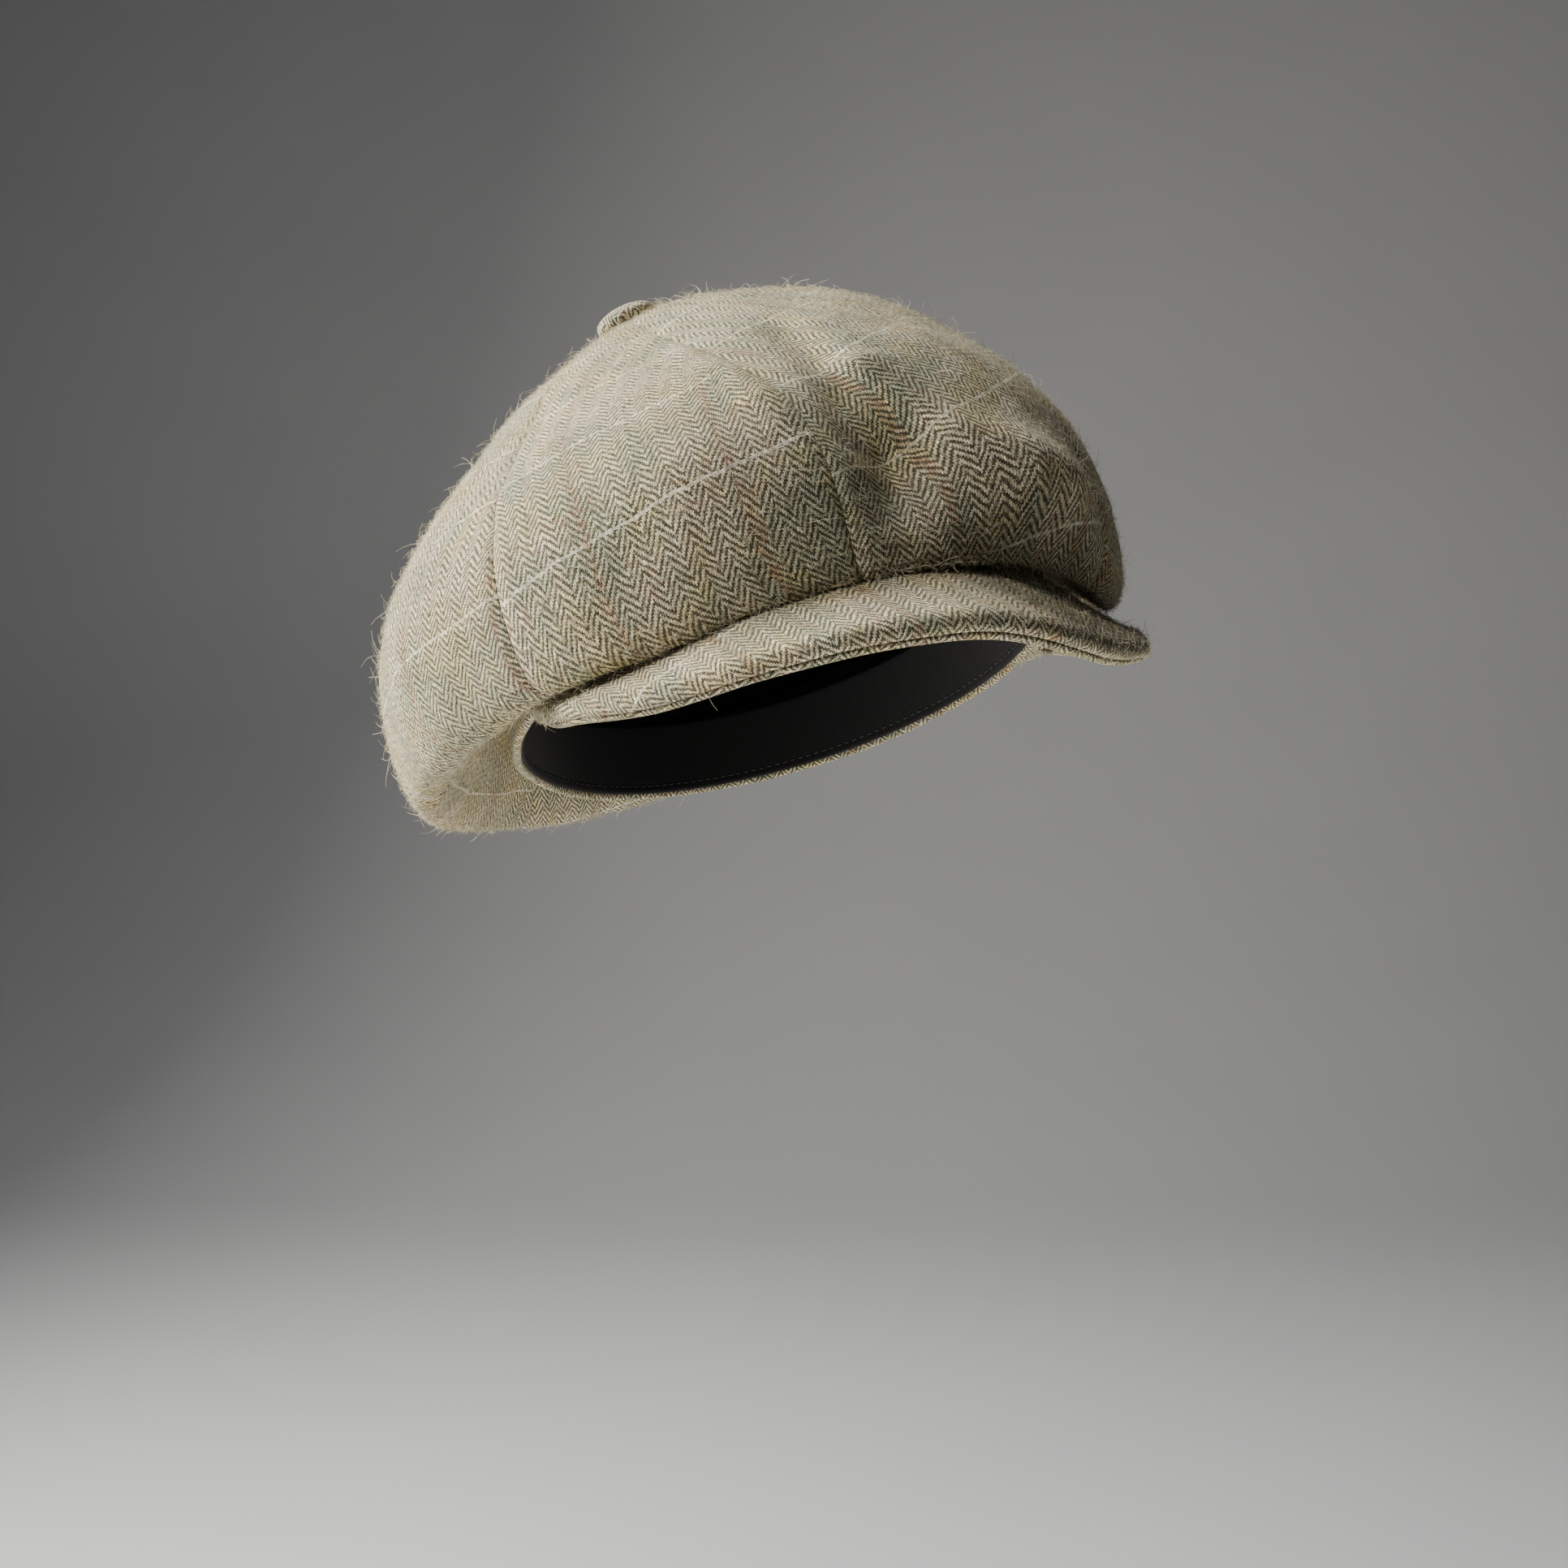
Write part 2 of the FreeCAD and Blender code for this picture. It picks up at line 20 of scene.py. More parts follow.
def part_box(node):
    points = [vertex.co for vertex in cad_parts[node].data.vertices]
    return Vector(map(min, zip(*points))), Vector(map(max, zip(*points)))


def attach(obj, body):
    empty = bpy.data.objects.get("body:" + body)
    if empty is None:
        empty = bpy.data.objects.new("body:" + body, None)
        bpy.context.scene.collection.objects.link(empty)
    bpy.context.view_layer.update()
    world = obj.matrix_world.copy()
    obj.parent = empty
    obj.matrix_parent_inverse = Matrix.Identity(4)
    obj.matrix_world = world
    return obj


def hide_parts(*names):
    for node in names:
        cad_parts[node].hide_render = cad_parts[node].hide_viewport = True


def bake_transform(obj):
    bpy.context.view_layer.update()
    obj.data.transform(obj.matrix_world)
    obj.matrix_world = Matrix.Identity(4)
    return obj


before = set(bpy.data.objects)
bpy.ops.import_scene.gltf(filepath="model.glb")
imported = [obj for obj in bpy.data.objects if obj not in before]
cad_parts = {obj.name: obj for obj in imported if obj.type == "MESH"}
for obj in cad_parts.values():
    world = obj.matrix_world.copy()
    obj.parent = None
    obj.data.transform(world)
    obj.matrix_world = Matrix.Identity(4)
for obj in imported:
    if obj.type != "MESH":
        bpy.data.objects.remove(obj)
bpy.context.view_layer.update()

MM = 0.001
PLACES = (
    "front_left", "left_front", "left_back", "back_left",
    "back_right", "right_back", "right_front", "front_right",
)
GORE_ANGLE = 2 * math.pi / len(PLACES)
band_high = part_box("hat_band")[1]

# %% [markdown]
# ## The camera
#
# The cap is seen from a little below its band, from the wearer's front right,
# and it leans back on the head.  A camera can be placed by three rotation
# angles, but those are hard to picture.  Here it is given by the point that it
# looks at, how far round and how high it stands, how much it leans, how far off
# it is, and its lens.

# %% Camera
LOOK_AT = Vector((22.1, 65.9, -10.3)) * MM
CAMERA_ROUND, CAMERA_RISE, CAMERA_LEAN = -22.21, -13.09, -13.59     # degrees
CAMERA_DISTANCE = 564.5 * MM
CAMERA_LENS = 35.68
NEAREST_SEEN = 10 * MM


def view_axes(round_degrees, rise_degrees, lean_degrees):
    """Right, up and backward directions of a camera that looks at the cap."""
    turn, rise = math.radians(round_degrees), math.radians(rise_degrees)
    back = Vector((
        math.sin(turn) * math.cos(rise), -math.cos(turn) * math.cos(rise), math.sin(rise)))
    right = Vector((0, 0, 1)).cross(back).normalized()
    lean = Matrix.Rotation(math.radians(lean_degrees), 3, back)
    return lean @ right, lean @ back.cross(right), back


view_right, view_up, view_back = view_axes(CAMERA_ROUND, CAMERA_RISE, CAMERA_LEAN)
camera = bpy.data.objects.new("camera", bpy.data.cameras.new("camera"))
camera.data.lens = CAMERA_LENS
camera.data.clip_start = NEAREST_SEEN
camera.matrix_world = Matrix.Translation(LOOK_AT + view_back * CAMERA_DISTANCE) @ Matrix(
    (view_right, view_up, view_back)).transposed().to_4x4()
bpy.context.scene.collection.objects.link(camera)
bpy.context.scene.camera = camera
print("camera at", [round(value, 3) for value in camera.matrix_world.translation])

# %% [markdown]
# ## Studio light
#
# A weave shows best in light that rakes across it.  One large warm box at the
# left does most of the work, as a window would.  A cooler one lifts the top, a
# third softens the shade of the side, and a faint one underneath stands for
# what a wearer's face throws back.  Lamps can be aimed one by one; here each is
# a direction in the camera's view, and all of them face the crown.

# %% Studio light
crown_middle = Vector((0, 0, 60)) * MM
SOFT_BOXES = {      # direction (right, up, nearer), metres away, metres wide, watts, colour
    "window_light": ((-1.0, 0.27, -0.13), 1.6, 0.8, 92, (1.0, 0.975, 0.92)),
    "sky_light": ((-0.26, 1.0, -0.38), 1.7, 0.8, 38, (0.98, 0.985, 0.99)),
    "side_light": ((-0.84, 0.56, 0.54), 2.0, 0.5, 31, (0.99, 0.985, 0.98)),
    "low_light": ((0.10, -1.0, 0.25), 0.75, 0.5, 3, (1.0, 0.93, 0.83)),
}
ROOM_LIGHT = {"Color": (0.55, 0.56, 0.58, 1), "Strength": 0.07}


def soft_light(name, towards, distance, width, watts, colour):
    """A square soft box that faces the crown."""
    lamp = bpy.data.lights.new(name, "AREA")
    lamp.size = width
    lamp.energy = watts
    lamp.color = colour
    box = bpy.data.objects.new(name, lamp)
    way = (view_right * towards[0] + view_up * towards[1] + view_back * towards[2]).normalized()
    box.matrix_world = Matrix.Translation(crown_middle + way * distance) @ (
        way.to_track_quat("Z", "Y").to_matrix().to_4x4())
    bpy.context.scene.collection.objects.link(box)


for name, box in SOFT_BOXES.items():
    soft_light(name, *box)
world = bpy.data.worlds.new("studio")
world.use_nodes = True
for name, value in ROOM_LIGHT.items():
    world.node_tree.nodes["Background"].inputs[name].default_value = value
bpy.context.scene.world = world
print("soft boxes", len(SOFT_BOXES))

# %% [markdown]
# ## Finishes written as sums
#
# A finish is a tree of nodes, and a long sum drawn by hand is a tangle.  Two
# small classes write it instead.  A Socket stands for one output of a node and
# turns + - * / into Math nodes; a Finish is a material that adds every other
# kind of node, and sets or links its sockets.

# %% Sums of shader outputs
class Socket:
    """A shader output that takes part in arithmetic: each operator adds a Math node."""

    def __init__(self, finish, output):
        self.finish = finish
        self.output = output

    def math(self, operation, *values):
        sockets = dict(enumerate((self,) + values))
        return self.finish.node("Math", {"operation": operation}, sockets)

    def __add__(self, other):
        return self.math("ADD", other)

    __radd__ = __add__

    def __sub__(self, other):
        return self.math("SUBTRACT", other)

    def __rsub__(self, other):
        return self.finish.node("Math", {"operation": "SUBTRACT"}, {0: other, 1: self})

    def __mul__(self, other):
        return self.math("MULTIPLY", other)

    __rmul__ = __mul__

    def __truediv__(self, other):
        return self.math("DIVIDE", other)

    def __pow__(self, other):
        return self.math("POWER", other)

    def floor(self):
        return self.math("FLOOR")

    def fract(self):
        return self.math("FRACT")

    def size(self):
        return self.math("ABSOLUTE")

    def wrap(self, length):
        return self.math("FLOORED_MODULO", length)

    def below(self, limit):
        return self.math("LESS_THAN", limit)

    def ramp(self, low, high):
        """0 below low, 1 above high and a smooth rise between them."""
        settings = {"interpolation_type": "SMOOTHSTEP"}
        return self.finish.node("MapRange", settings, {0: self, 1: low, 2: high})


# %% A material and its nodes
class Finish:
    """One material, with short ways to add nodes to it."""

    def __init__(self, name):
        self.material = bpy.data.materials.new(name)
        self.material.use_nodes = True
        self.tree = self.material.node_tree
        self.surface = self.tree.nodes["Principled BSDF"]

    def set(self, node, name, value):
        if isinstance(value, Socket):
            self.tree.links.new(value.output, node.inputs[name])
        else:
            node.inputs[name].default_value = value

    def node(self, kind, settings, sockets, output=0):
        """Add a node: first its settings, then a value or a link for each socket."""
        node = self.tree.nodes.new("ShaderNode" + kind)
        for name, value in settings.items():
            setattr(node, name, value)
        for name, value in sockets.items():
            self.set(node, name, value)
        return Socket(self, node.outputs[output])

    def parts(self, vector):
        """The three numbers of a vector."""
        return [self.node("SeparateXYZ", {}, {0: vector}, output) for output in range(3)]

    def vector(self, x, y, z=0.0):
        return self.node("CombineXYZ", {}, {0: x, 1: y, 2: z})

    def vector_math(self, operation, *vectors, scale=None):
        sockets = dict(enumerate(vectors))
        if scale is not None:
            sockets["Scale"] = scale
        return self.node("VectorMath", {"operation": operation}, sockets)

    def mix(self, share, first, second, blend="MIX"):
        """Mix two colours."""
        settings = {"data_type": "RGBA", "blend_type": blend}
        return self.node("Mix", settings, {0: share, 6: first, 7: second}, 2)

    def noise(self, vector, scale, detail=2.0, roughness=0.5, output=0):
        sockets = {"Vector": vector, "Scale": scale, "Detail": detail, "Roughness": roughness}
        return self.node("TexNoise", {}, sockets, output)

    def bump(self, height, strength, distance):
        """A normal that makes the surface look raised where height is great."""
        sockets = {"Strength": strength, "Distance": distance, "Height": height}
        return self.node("Bump", {}, sockets)

    def shade(self, **sockets):
        """Set the surface shader's own sockets, named with _ for spaces."""
        for name, value in sockets.items():
            self.set(self.surface, name.replace("_", " "), value)
        return self.material


def rgb(red, green, blue):
    return (red, green, blue, 1.0)


# %% [markdown]
# ## The floor
#
# A studio hangs a roll of pale paper and lets it curve on to the floor.  Two
# planes would show a corner behind the cap.  This sheet is one grid, bent by a
# formula: level with the camera's view, then a quarter round, then straight up.

# %% Floor
FLOOR = {"width": 14.0, "drop": 0.90, "depth": 2.4, "bend": 1.4, "end": 3.0}     # metres
FLOOR_ROWS = 48
PAPER_GREYS = rgb(0.55, 0.55, 0.555), rgb(0.59, 0.59, 0.59)


def make_floor():
    """A pale sheet under the cap that curves up into a wall far behind it."""
    bm = bmesh.new()
    bmesh.ops.create_grid(bm, x_segments=1, y_segments=FLOOR_ROWS, size=0.5)
    depth, bend, end = FLOOR["depth"], FLOOR["bend"], FLOOR["end"]
    quarter = bend * math.pi / 2
    for vertex in bm.verts:
        along = (vertex.co.y + 0.5) * (depth + end + quarter + end) - end
        over = min(max(along - depth, 0), quarter) / bend
        far = min(along, depth) + bend * math.sin(over)
        rise = bend * (1 - math.cos(over)) + max(along - depth - quarter, 0)
        vertex.co = (
            crown_middle + view_right * vertex.co.x * FLOOR["width"]
            - view_back * far + view_up * (rise - FLOOR["drop"]))
    mesh = bpy.data.meshes.new("studio_floor")
    bm.to_mesh(mesh)
    bm.free()
    floor = bpy.data.objects.new("studio_floor", mesh)
    bpy.context.scene.collection.objects.link(floor)
    for face in mesh.polygons:
        face.use_smooth = True
    paper = Finish("studio_paper")
    place = paper.node("TexCoord", {}, {}, 3)
    grain = paper.noise(place, 3.0, 3.0)
    mesh.materials.append(paper.shade(Base_Color=paper.mix(grain, *PAPER_GREYS), Roughness=0.9))
    return floor


floor_sheet = make_floor()
print("floor faces", len(floor_sheet.data.polygons))

# %% [markdown]
# ## The cloth
#
# The cap is cut from a wool herringbone: light yarns run along each gore and
# dark yarns cross them, over two and under two.  Every eight yarns the step
# turns round, which draws the zigzag.  Here the shader counts the yarns of the
# real weave from a map in metres, so the pattern stays at its true scale and
# follows the cut of each piece.  A few odd yarns make the check: a cream one
# crosswise, a rust one lengthwise, with broad bands of sage and gold.

# %% Measures and dyes of the tweed
WARP_PITCH = 0.46 * MM      # from one lengthwise yarn to the next
WEFT_PITCH = 0.61 * MM      # the same crosswise, where the cloth is less dense
COLUMN_YARNS = 8            # lengthwise yarns between two turns of the zigzag
CHECK_PITCH = 37 * MM       # from one cream line to the next
CREAM_WIDTH = 1.3 * WEFT_PITCH
RUST_PITCH = 41 * MM        # from one rust line to the next
RUST_SHARE = 0.035          # half the rust line's width, as a share of its pitch
STRIPE_PITCH = 20.5 * MM    # of the faint lengthwise stripes of sage
YARN_DRIFT = ((55.0, 2.2 * MM), (330.0, 1.0 * MM), (1100.0, 0.50 * MM))    # turns a metre, reach
LIGHT_YARN = {
    "straw": rgb(0.82, 0.74, 0.54), "sage": rgb(0.57, 0.565, 0.39), "blush": rgb(0.62, 0.42, 0.29),
    "gold": rgb(0.84, 0.68, 0.32), "cream": rgb(0.82, 0.77, 0.64), "rust": rgb(0.46, 0.20, 0.10),
}
DARK_YARN = {
    "straw": rgb(0.080, 0.054, 0.030), "sage": rgb(0.048, 0.050, 0.026),
    "blush": rgb(0.15, 0.072, 0.042), "cream": rgb(0.78, 0.73, 0.60),
    "rust": rgb(0.15, 0.050, 0.028),
}
NAP = rgb(0.51, 0.45, 0.30), rgb(0.41, 0.40, 0.27)      # over straw and over sage
print("zigzag columns", round(COLUMN_YARNS * WARP_PITCH / MM, 2), "mm")


# %% The herringbone
def wandering_map(finish, flat):
    """The cloth's own map, pushed about a little: no yarn lies quite straight."""
    cloth = flat
    for scale, reach in YARN_DRIFT:
        drift = finish.noise(cloth, scale, 1.0, output=1)
        drift = finish.vector_math("SUBTRACT", drift, (0.5, 0.5, 0.5))
        drift = finish.vector_math("SCALE", drift, scale=reach)
        cloth = finish.vector_math("ADD", cloth, drift)
    return cloth


def herringbone(across, along):
    """Count the yarns.

    Gives where a light yarn is on top, how round the cloth stands there, the number
    of the yarn on top and the number of its float.
    """
    warp = across / WARP_PITCH
    weft = along / WEFT_PITCH
    warp_number = warp.floor()
    weft_number = weft.floor()
    turned = (warp_number / COLUMN_YARNS).floor().wrap(2.0)
    lean = 1 - 2 * turned
    crossing = weft_number + warp_number * lean + 2 * turned
    light_up = crossing.wrap(4.0).below(1.5)
    warp_round = 1 - ((warp.fract() - 0.5) * 2) ** 2
    weft_round = 1 - ((weft.fract() - 0.5) * 2) ** 2
    relief = warp_round * light_up + weft_round * (1 - light_up)
    own_yarn = warp_number * light_up + weft_number * (1 - light_up)
    return light_up, relief, own_yarn, (crossing / 4).floor()


# %% The dyed wool and the check
def dyed_wool(finish, flat, across):
    """Colours of the light and the dark yarns, and where both turn to sage."""

    def patches(shift, scale, detail, roughness):
        return finish.noise(finish.vector_math("ADD", flat, shift), scale, detail, roughness)

    broad = patches((0.6, 0.2, 0.0), 26.0, 3.0, 0.6)
    small = finish.noise(flat, 85.0, 4.0, 0.7)
    stripe = ((across / STRIPE_PITCH).fract() - 0.5).size() * 2
    sage = (broad * 0.56 + small * 0.35 + stripe * 0.09).ramp(0.43, 0.56)
    blush = patches((3.7, 1.3, 0.0), 130.0, 4.0, 0.7)
    gold = patches((8.1, 4.3, 0.0), 48.0, 4.0, 0.7)
    light = finish.mix(sage, LIGHT_YARN["straw"], LIGHT_YARN["sage"])
    light = finish.mix(blush.ramp(0.54, 0.68) * 0.6, light, LIGHT_YARN["blush"])
    light = finish.mix(gold.ramp(0.48, 0.60) * 0.75, light, LIGHT_YARN["gold"])
    dark = finish.mix(sage, DARK_YARN["straw"], DARK_YARN["sage"])
    dark = finish.mix(blush.ramp(0.52, 0.66) * 0.6, dark, DARK_YARN["blush"])
    return light, dark, sage


def check_lines(finish, cloth, light, dark):
    """Weave a thin cream yarn in crosswise and a worn rust one lengthwise."""
    across, along, _ = finish.parts(cloth)
    worn = finish.noise(cloth, 420.0, 3.0, 0.7).ramp(0.36, 0.60)
    cream = ((along / CHECK_PITCH).fract() * CHECK_PITCH).below(CREAM_WIDTH)
    rust = ((across / RUST_PITCH).fract() - 0.5).size().below(RUST_SHARE) * worn
    dark = finish.mix(cream * (0.50 + 0.46 * worn), dark, DARK_YARN["cream"])
    light = finish.mix(cream * 0.6 * worn, light, LIGHT_YARN["cream"])
    light = finish.mix(rust * 0.55, light, LIGHT_YARN["rust"])
    dark = finish.mix(rust * 0.6, dark, DARK_YARN["rust"])
    return light, dark, cream


# %% Tweed
def tweed():
    """The whole cloth: woven, with painted shade between the yarns, dyed, spun unevenly, and fuzzy
    with loose wool.
    """
    finish = Finish("tweed")
    flat = finish.node("UVMap", {"uv_map": "cloth"}, {})
    cloth = wandering_map(finish, flat)
    across, along, _ = finish.parts(cloth)
    light_up, relief, own_yarn, own_float = herringbone(across, along)
    light, dark, sage = dyed_wool(finish, flat, across)
    light, dark, cream = check_lines(finish, cloth, light, dark)
    colour = finish.mix(light_up, dark, light)

    # no two floats are alike: each has its own tone and its own twist, and each yarn's roundness
    # darkens its edges, which is painted shade
    float_shade = finish.node(
        "TexWhiteNoise", {"noise_dimensions": "3D"},
        {"Vector": finish.vector(own_yarn, own_float, light_up)})
    yarn_shade = finish.node("TexWhiteNoise", {"noise_dimensions": "1D"}, {"W": own_yarn})
    slub = finish.noise(finish.vector(across * 1900.0, along * 420.0), 1.0, 2.0, 0.6)
    fibre = finish.noise(finish.vector(across * 5200.0, along * 1300.0), 1.0, 3.0, 0.7)
    mottle = finish.noise(flat, 760.0, 3.0, 0.75)
    # painted shade: the relief term darkens the colour towards each yarn's edges, in the grooves
    # between yarns; float, yarn, slub, fibre and mottle are the wool's own random tone
    shade = (0.42 + 0.58 * relief) * (0.58 + 0.60 * float_shade + 0.24 * yarn_shade)
    shade = shade * (0.50 + 0.60 * slub + 0.44 * fibre) * (0.62 + 0.76 * mottle.ramp(0.30, 0.70))
    shade = shade * (1 + 0.12 * cream)
    colour = finish.mix(1.0, colour, finish.vector(shade, shade, shade), "MULTIPLY")

    # a thin nap lies over it, with a few single hairs, and is rubbed off in places
    nap = finish.noise(cloth, 1250.0, 3.0, 0.7)
    bald = finish.noise(flat, 60.0, 3.0, 0.6)
    hair = 0.0
    for lean, start in ((0.5, 1.7), (-0.9, 5.1)):
        lie = finish.vector(
            (across + along * lean) * 900.0 + start, (along - across * lean) * 260.0)
        hair = hair + (finish.noise(lie, 1.0, 2.0) - 0.5).size().ramp(0.05, 0.0)
    cover = 0.02 + nap.ramp(0.44, 0.70) * (0.10 + 0.28 * bald.ramp(0.35, 0.65)) + 0.11 * hair
    colour = finish.mix(cover, colour, finish.mix(sage, *NAP))
    height = relief * 0.6 + slub * 0.7 + fibre * 0.5 + nap * 0.6
    return finish.shade(
        Base_Color=colour, Roughness=0.95, Normal=finish.bump(height, 0.7, 0.35 * MM),
        Specular_IOR_Level=0.1,
        Sheen_Weight=0.18, Sheen_Roughness=0.5, Sheen_Tint=rgb(0.95, 0.84, 0.60))


TWEED = tweed()
print("tweed nodes", len(TWEED.node_tree.nodes))

# %% [markdown]
# ## Lining, tape and the small finishes
#
# The lining is black satin and the sweatband a ribbed black tape: dark cloths
# that differ by their threads, so each gets its own streaks or ribs and its own
# gloss.  Thread, brim board and stamped metal show only when a cap is taken
# apart.  One short recipe of grain, roughness and relief serves them all.

# %% Lining, tape and small finishes
RIB_PITCH = 0.9 * MM


def lining_satin():
    """Black satin with the fine streaks of its long floating threads."""
    finish = Finish("lining_satin")
    cloth = finish.node("UVMap", {"uv_map": "cloth"}, {})
    across, along, _ = finish.parts(cloth)
    streak = finish.noise(finish.vector(across * 2200.0, along * 120.0), 1.0, 2.0)
    slack = finish.noise(cloth, 60.0, 3.0)
    colour = finish.mix(streak, rgb(0.005, 0.005, 0.006), rgb(0.012, 0.012, 0.013))
    return finish.shade(
        Base_Color=colour, Roughness=0.36 + 0.14 * streak,
        Normal=finish.bump(streak * 0.4 + slack, 0.3, 0.2 * MM),
        Sheen_Weight=0.15, Sheen_Roughness=0.4)


def ribbed_cotton():
    """Black ribbed tape: close cords, RIB_PITCH apart, that stand up and down the band."""
    finish = Finish("ribbed_cotton")
    cloth = finish.node("UVMap", {"uv_map": "cloth"}, {})
    across, along, _ = finish.parts(cloth)
    rib = ((across / RIB_PITCH).fract() - 0.5).size() * 2
    lint = finish.noise(cloth, 1500.0, 3.0, 0.6)
    colour = finish.mix(lint * 0.8, rgb(0.006, 0.006, 0.006), rgb(0.022, 0.022, 0.023))
    return finish.shade(
        Base_Color=colour, Roughness=0.75 + 0.2 * lint,
        Normal=finish.bump(rib + lint * 0.4, 0.6, 0.25 * MM),
        Sheen_Weight=0.08, Sheen_Roughness=0.5, Specular_IOR_Level=0.25)


def plain_finish(name, low, high, scale, roughness, metallic=0.0, stretch=(1, 1, 1), relief=0.1):
    """Two shades mixed by a fine grain, which stretch can draw out; relief is in mm."""
    finish = Finish(name)
    place = finish.node("TexCoord", {}, {}, 3)
    place = finish.vector_math("MULTIPLY", place, stretch)
    grain = finish.noise(place, scale, 4.0, 0.6)
    return finish.shade(
        Base_Color=finish.mix(grain, low, high), Roughness=roughness + 0.2 * grain,
        Metallic=metallic, Normal=finish.bump(grain, 0.4, relief * MM))


LINING = lining_satin()
RIBBED = ribbed_cotton()
BLACK_THREAD = plain_finish(
    "black_thread", rgb(0.012, 0.012, 0.013), rgb(0.05, 0.05, 0.052), 3000.0, 0.5)
BUTTON_THREAD = plain_finish(
    "button_thread", rgb(0.30, 0.27, 0.20), rgb(0.50, 0.46, 0.36), 2200.0, 0.6, stretch=(1, 1, 3))
BRIM_BOARD = plain_finish(
    "brim_board", rgb(0.62, 0.61, 0.57), rgb(0.74, 0.73, 0.69), 300.0, 0.5)
STAMPED_METAL = plain_finish(
    "stamped_metal", rgb(0.62, 0.62, 0.63), rgb(0.76, 0.76, 0.77), 900.0, 0.25,
    metallic=1.0, stretch=(1, 1, 0.2), relief=0.03)
print("finishes", [finish.name for finish in (
    LINING, RIBBED, BLACK_THREAD, BUTTON_THREAD, BRIM_BOARD, STAMPED_METAL)])

# %% [markdown]
# ## Tools for soft shapes
#
# Cloth has no flat faces to build from.  Its pieces are rings and curves worked
# out for whole arrays of angles and heights at once, which is far quicker than
# moving vertices one by one.  These few helpers are used by all that follows.

# %% Shape helpers
def oval(angle, half_width, half_length, height):
    """A ring of points about the upright axis; angle 0 is the front, then the left."""
    return np.stack(
        [half_width * np.sin(angle), -half_length * np.cos(angle), height + 0 * angle], -1)


def smooth_step(low, high, value):
    share = np.clip((value - low) / (high - low), 0, 1)
    return share * share * (3 - 2 * share)


def unit(vectors):
    return vectors / np.linalg.norm(vectors, axis=-1, keepdims=True)


def window(value, start, full, fading, end):
    """1 between full and fading, 0 before start and past end."""
    return smooth_step(start, full, value) * smooth_step(end, fading, value)


def running_length(line):
    """How far each point of a line lies from its first one, along the line."""
    return np.concatenate([[0], np.cumsum(np.linalg.norm(np.diff(line, axis=0), axis=-1))])


def crumple(points, scale, seed):
    """Smooth noise over a set of points, from -1 to 1."""
    flat = (points.reshape(-1, 3) / scale + seed).tolist()
    return np.array([noise.noise(Vector(spot)) for spot in flat]).reshape(points.shape[:-1])


# %% [markdown]
# ## The crown's shape
#
# A gored crown is a bag.  Its outline, from the band to the button, is one
# smooth curve that first hangs down, rolls out to the widest ring and then
# climbs to the top.  The curve has seven control points, and each of them runs
# round the cap on its own ring.  The rings of the top are turned a little
# against the band, because the cap is worn slouched and its seams lean with it.

# %% Control rings of the crown
LAYER_GAP = 0.3 * MM
SLOUCH = {
    "overhang": (36.5 * MM, 36.5 * MM, 18.0 * MM, 33.5 * MM),   # left, right, front, back
    "widest_lift": 13.0 * MM, "widest_slope": (0.16, 0.05),
    "tuck_share": 0.62, "tuck_drop": 36.0 * MM, "tuck_drop_front": -1.0 * MM,
    "roll_drop": 28.0 * MM, "roll_drop_front": -13.0 * MM,
    "sag_roll": 22.0 * MM, "sag_tuck": 11.0 * MM, "sag_share": 0.25, "sag_turn": 45.0,
    "shoulder_rise": 23.6 * MM, "shoulder_rise_front": -8.4 * MM,
    "button": (-21.0 * MM, -1.0 * MM, 138.0 * MM), "top_slope": (0.387, 0.30),
    "upper": (0.343, -30.4 * MM), "inner": (0.742, -1.9 * MM),
    "twist": (-9.5, -17.5, -28.0),                          # side, upper and inner rings
}
apex = np.array(SLOUCH["button"])
left, right, front, back = SLOUCH["overhang"]
widest_half = (band_high.x + (left + right) / 2, band_high.y + (front + back) / 2)
widest_middle = ((left - right) / 2, (back - front) / 2, band_high.z + SLOUCH["widest_lift"])
print("widest ring", [round(2 * half / MM) for half in widest_half], "mm")


def band_top(angle):
    return oval(angle, band_high.x + LAYER_GAP, band_high.y + LAYER_GAP, band_high.z)


def widest_ring(angle):
    ring = oval(angle, *widest_half, 0.0) + np.array(widest_middle)
    ring[..., 2] += ring[..., :2] @ np.array(SLOUCH["widest_slope"])
    return ring


def top_ring(angle, share, rise):
    """A ring between the widest one and the button, set over the leaning top plane."""
    ring = widest_ring(angle) * (1 - share) + apex * share
    ring[..., 2] = apex[2] + (ring[..., :2] - apex[:2]) @ np.array(SLOUCH["top_slope"]) + rise
    return ring


def raised(ring, height):
    return ring + np.stack([0 * height, 0 * height, height], -1)


# %% The crown's outline
def crown_rings(angle):
    """The seven control points of the crown's outline, at each angle."""
    side, upper, inner = (angle + math.radians(turn) for turn in SLOUCH["twist"])
    ahead = np.cos(side)
    sag = np.maximum(np.cos(side - math.radians(SLOUCH["sag_turn"])), 0) ** 2
    widest = widest_ring(side)
    share = (SLOUCH["tuck_share"] - SLOUCH["sag_share"] * sag)[..., None]
    tuck = band_top(side) * (1 - share) + widest * share
    tuck_drop = SLOUCH["tuck_drop"] + SLOUCH["tuck_drop_front"] * ahead + SLOUCH["sag_tuck"] * sag
    roll_drop = SLOUCH["roll_drop"] + SLOUCH["roll_drop_front"] * ahead + SLOUCH["sag_roll"] * sag
    tuck[..., 2] = widest[..., 2] - tuck_drop
    shoulder_rise = SLOUCH["shoulder_rise"] + SLOUCH["shoulder_rise_front"] * ahead
    return np.stack([
        band_top(angle), tuck, raised(widest, -roll_drop), raised(widest, shoulder_rise),
        top_ring(upper, *SLOUCH["upper"]), top_ring(inner, *SLOUCH["inner"]),
        np.broadcast_to(apex, widest.shape)], -2)


